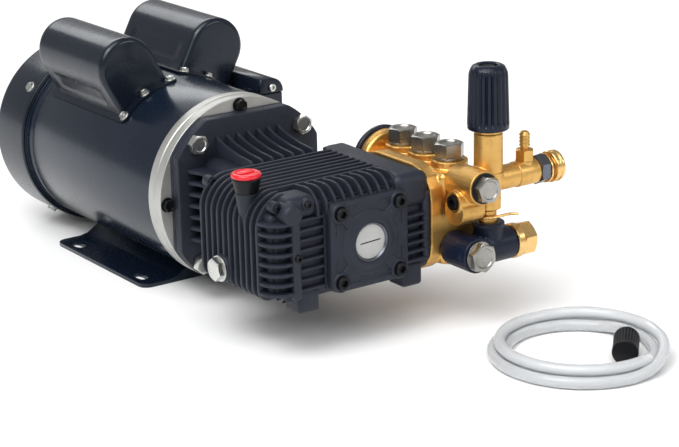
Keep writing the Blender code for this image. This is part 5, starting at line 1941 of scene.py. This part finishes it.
@dataclass
class Unloader:
    """Unloader valve: brass body, turned rings, fluted knob, front plug and washer."""

    x: float = COLUMN_X
    y: float = COLUMN_Y
    barrel: tuple[float, float] = (0.0919, 0.0335)
    flutes: int = 20

    def build(self) -> None:
        """Make the body, the knob, the plug and its washer."""
        self._body()
        self._knob()
        self._plugs()

    def _body(self) -> None:
        """Cast the body and turn the rings on its column and injector."""
        bx, bz = self.barrel
        casting = Caster("unloader_body", 0.0006, 4)
        casting.bore([
            (at(self.x, self.y, 0.036), at(self.x, self.y, 0.080), 0.0093),
            (at(bx, -0.3395, bz), at(bx, -0.3520, bz), 0.0087),
            (at(BARB_X, self.y, 0.0372), at(BARB_X, self.y, 0.050), 0.0045),
            (at(0.1535, self.y, OUTLET_HEIGHT), at(0.165, self.y, OUTLET_HEIGHT), 0.0079)])
        casting.piece(BRASS)
        rings = Shape("column_rings")
        upright = aimed(at(self.x, self.y, 0), UP)
        rings.band(0.0096, 0.0113, 0.0742, 0.0762, upright, 64, 0.0004)
        rings.band(0.0110, 0.0128, 0.0392, 0.0412, upright, 64, 0.0006)
        across = aimed(at(0, self.y, OUTLET_HEIGHT), RIGHT)
        rings.lathe([(0.0095, 0.1368), (0.0108, 0.1372), (0.0108, 0.1580), (0.0095, 0.1584)], across, 64,
                    0.0006, closed=True)
        rings.piece(BRASS)
        pad = Shape("barb_pad")
        pad.band(0.0050, 0.0078, 0.0395, 0.0434, aimed(at(BARB_X, self.y, 0), UP), 40, 0.0004)
        pad.piece(BRASS)

    def _knob(self) -> None:
        """Mould the fluted knob and its button."""
        low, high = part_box("pressure_knob")
        bottom = low.z - SHAFT.z
        top = high.z - SHAFT.z
        body = Shape("pressure_knob_fluted")
        rise = [(0.0172 - 0.0012 * i / 22, bottom + 0.0040 + (0.1215 - bottom - 0.0040) * i / 22)
                for i in range(23)]
        profile = [(0, 0.1120), (0.0094, 0.1120), (0.0094, bottom), (0.0164, bottom),
                   (0.0171, bottom + 0.0008), (0.0171, bottom + 0.0034), *rise, (0.0157, 0.1236),
                   (0.0148, 0.1262), (0.0132, top - 0.0012), (0.0108, top), (0.0090, top),
                   (0.0078, top - 0.0008), (0.0074, 0.1272), (0, 0.1268)]
        body.stack(profile, Matrix(), 200)
        mesh = grown(body.mesh(), flute_tree(), BLACK_PLASTIC, 40, Flutes=float(self.flutes), Depth=0.0019,
                     Low=bottom + 0.0036, High=0.1262)
        mesh.transform(Matrix.Translation(at(self.x, self.y, 0)))
        mesh.name = "pressure_knob_fluted"
        settle(make_object(mesh.name, mesh), BLACK_PLASTIC, "knob", ["pressure_knob"])
        button = Shape("knob_button")
        button.lathe([(0, 0.1262), (0.0058, 0.1262), (0.0058, 0.1280), (0.0050, 0.1287), (0.0030, 0.1283),
                      (0, 0.1283)], aimed(at(self.x, self.y, 0), UP), 40, 0.0004)
        button.piece(SOOT_PLASTIC, "knob")

    def _plugs(self) -> None:
        """Make the front plug with its black washer."""
        bx, bz = self.barrel
        low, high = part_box("unloader_plug")
        face = low.y + 0.0070
        plug = Shape("unloader_plug_turned")
        plug.hexagon(0.020, 0.0068, aimed(at(bx, face, bz), FRONT, 0.3), 0.0008)
        plug.disc(0.0080, high.y - face, aimed(at(bx, face - 0.0001, bz), BACK), 32)
        plug.piece(NICKEL, nodes=["unloader_plug"], slot="nickel_plated")
        washer = Shape("unloader_washer")
        washer.band(0.0083, 0.0128, 0, 0.0014, aimed(at(bx, -0.3491, bz), FRONT), 56, 0.0003)
        washer.piece(SOOT_PLASTIC)


@dataclass
class Outlet:
    """Injector barb, hexagon ring, coupler body and its sliding sleeve."""

    y: float = COLUMN_Y
    z: float = OUTLET_HEIGHT
    barb_x: float = BARB_X

    def build(self) -> None:
        """Turn each fitting."""
        across = aimed(at(0, self.y, self.z), RIGHT)
        barb = Shape("injector_barb_turned")
        upright = aimed(at(self.barb_x, self.y, 0), UP)
        barb.hexagon(0.014, 0.0094, aimed(at(self.barb_x, self.y, 0.0436), UP, 0.3))
        profile = [(0.0020, 0.0680), (0.0030, 0.0680)]
        for ridge in range(4):
            top = 0.0665 - 0.0030 * ridge
            profile += [(0.0047, top - 0.0014), (0.0036, top - 0.0018)]
        profile += [(0.0036, 0.0378), (0.0020, 0.0378)]
        barb.lathe(profile, upright, 40, 0.0002, closed=True)
        barb.piece(BRASS, nodes=["injector_barb"], slot="brass")

        ring = Shape("outlet_ring")
        low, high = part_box("outlet_nut")
        flats = hexagonal(0.022)
        inner = 0.0107
        start, end = low.x, high.x
        ring.stack([(0.0079, start), (inner, start),
                    (flats, lambda t: start + (flats(t) - inner) * CHAMFER_SLOPE),
                    (flats, lambda t: end - (flats(t) - inner) * CHAMFER_SLOPE), (inner, end), (0.0079, end)],
                   across, 48, closed=True)
        ring.piece(HOOP, nodes=["outlet_nut"], slot="grey_steel")

        body = Shape("coupler_body_turned")
        body.lathe([(0.0062, 0.1817), (0.0092, 0.1817), (0.0092, 0.1702), (0.0124, 0.1702),
                    (0.0124, end + 0.0003), (0.0072, end + 0.0003), (0.0072, 0.1540), (0.0035, 0.1540),
                    (0.0035, 0.1660), (0.0062, 0.1660)], across, 64, 0.0003, closed=True)
        body.piece(BRIGHT_BRASS, nodes=["coupler_body"], slot="bright_brass")

        sleeve = Shape("coupler_sleeve_turned")
        sleeve.lathe([(0.0096, 0.1825), (0.0122, 0.1825), (0.0133, 0.1817), (0.0133, 0.1795),
                      (0.0122, 0.1788), (0.0122, 0.1764), (0.0133, 0.1757), (0.0133, 0.1743),
                      (0.0127, 0.1735), (0.0096, 0.1735)], across, 96, 0.0003, closed=True)
        sleeve.piece(BRIGHT_BRASS, "sleeve", ["coupler_sleeve"], "bright_brass")


@dataclass
class Inlet:
    """Black inlet elbow with its plug, swivel nut and spring clip."""

    x: float = COLUMN_X
    y: float = COLUMN_Y
    z: float = -0.0235
    barrel_x: float = 0.0877
    nut_size: float = 0.026

    def build(self) -> None:
        """Make each piece."""
        casting = Caster("inlet_elbow", 0.0007, 4)
        casting.bore([
            (at(self.x, self.y, -0.0085), at(self.x, self.y, 0.004), 0.0078),
            (at(0.108, self.y, self.z), at(0.142, self.y, self.z), 0.0066),
            (at(self.barrel_x, -0.337, self.z), at(self.barrel_x, -0.350, self.z), 0.0086)])
        casting.piece(NAVY_PLASTIC)
        collar = Shape("elbow_collar")
        collar.band(0.0120, 0.0134, -0.0052, -0.0018, aimed(at(self.x, self.y, 0), UP), 56, 0.0006)
        collar.piece(NAVY_PLASTIC)

        low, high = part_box("elbow_plug")
        face = low.y + 0.0080
        plug = Shape("elbow_plug_turned")
        plug.hexagon(0.022, 0.0064, aimed(at(self.barrel_x, face - 0.0015, self.z), FRONT, 0.15), 0.0010)
        plug.disc(0.0126, 0.0016, aimed(at(self.barrel_x, face, self.z), FRONT), 48, 0.0003)
        plug.disc(0.0080, high.y - face, aimed(at(self.barrel_x, face - 0.0001, self.z), BACK), 32)
        plug.piece(NICKEL, nodes=["elbow_plug"], slot="nickel_plated")
        self._nut()
        self._clip()

    def _nut(self) -> None:
        """Turn the swivel nut, open at its outer end."""
        low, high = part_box("swivel_nut")
        across = aimed(at(0, self.y, self.z), RIGHT, math.radians(12))
        flats = hexagonal(self.nut_size)
        inner = self.nut_size / 2 * CHAMFER_START
        start, end = 0.1400, high.x
        nut = Shape("swivel_nut_turned")
        nut.stack([(0.0092, low.x), (0.0136, low.x), (0.0146, low.x + 0.0008), (0.0146, start - 0.0016),
                   (0.0128, start - 0.0014), (inner, start - 0.0012),
                   (flats, lambda t: start - 0.0012 + (flats(t) - inner) * CHAMFER_SLOPE),
                   (flats, lambda t: end - (flats(t) - inner) * CHAMFER_SLOPE), (inner, end), (0.0112, end),
                   (0.0105, end - 0.0008), (0.0105, 0.1400), (0.0092, 0.1400)], across, 96, closed=True)
        nut.piece(BRIGHT_BRASS, "inlet_nut", ["swivel_nut"], "bright_brass", 30)

    def _clip(self) -> None:
        """Bend the spring clip."""
        bend = arc((self.x, self.y), 0.0090, 90, 270, 20)
        run = [(0.131, self.y + 0.0135), (0.125, self.y + 0.0090), *bend, (0.125, self.y - 0.0090),
               (0.131, self.y - 0.0135)]
        height = SHAFT.z + 0.0038
        clip = Shape("spring_clip")
        clip.tube([Vector((u, v, height)) for u, v in softened(run, 0.003, 4)], 0.0012, 0, 14)
        clip.piece(BRIGHT_BRASS, nodes=["u_clip"], slot="zinc_plated")


def finish_frame(replaced: set[str]) -> None:
    """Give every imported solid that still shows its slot's finish.

    Args:
        replaced: the solids that no longer show.
    """
    slots = slots_by_node()
    for node, solid in frame["nodes"].items():
        if node in replaced:
            continue
        material = SLOT_FINISHES[slots[node]].material()
        for index in range(len(solid.material_slots)):
            solid.material_slots[index].material = material
        LOG.info("%-24s keeps its solid, in %s", node, material.name)


def main() -> None:
    """Build every sub-assembly in order."""
    logging.basicConfig(level=logging.INFO, format="%(name)s: %(message)s")
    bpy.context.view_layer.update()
    builders = [Studio(), SuctionHose(), MotorCase(),
                CapacitorCover("left_cover", "start_capacitor_cover", -28, -0.033),
                CapacitorCover("right_cover", "run_capacitor_cover", 28, -0.014),
                MotorTrim(), Adaptor(), Crankcase(), BearingCover(), OilFittings(),
                BrassHead(), Unloader(), Outlet(), Inlet()]
    for builder in builders:
        LOG.info("building %s", type(builder).__name__)
        builder.build()
    finish_frame(REPLACED)


if __name__ == "__main__":
    main()
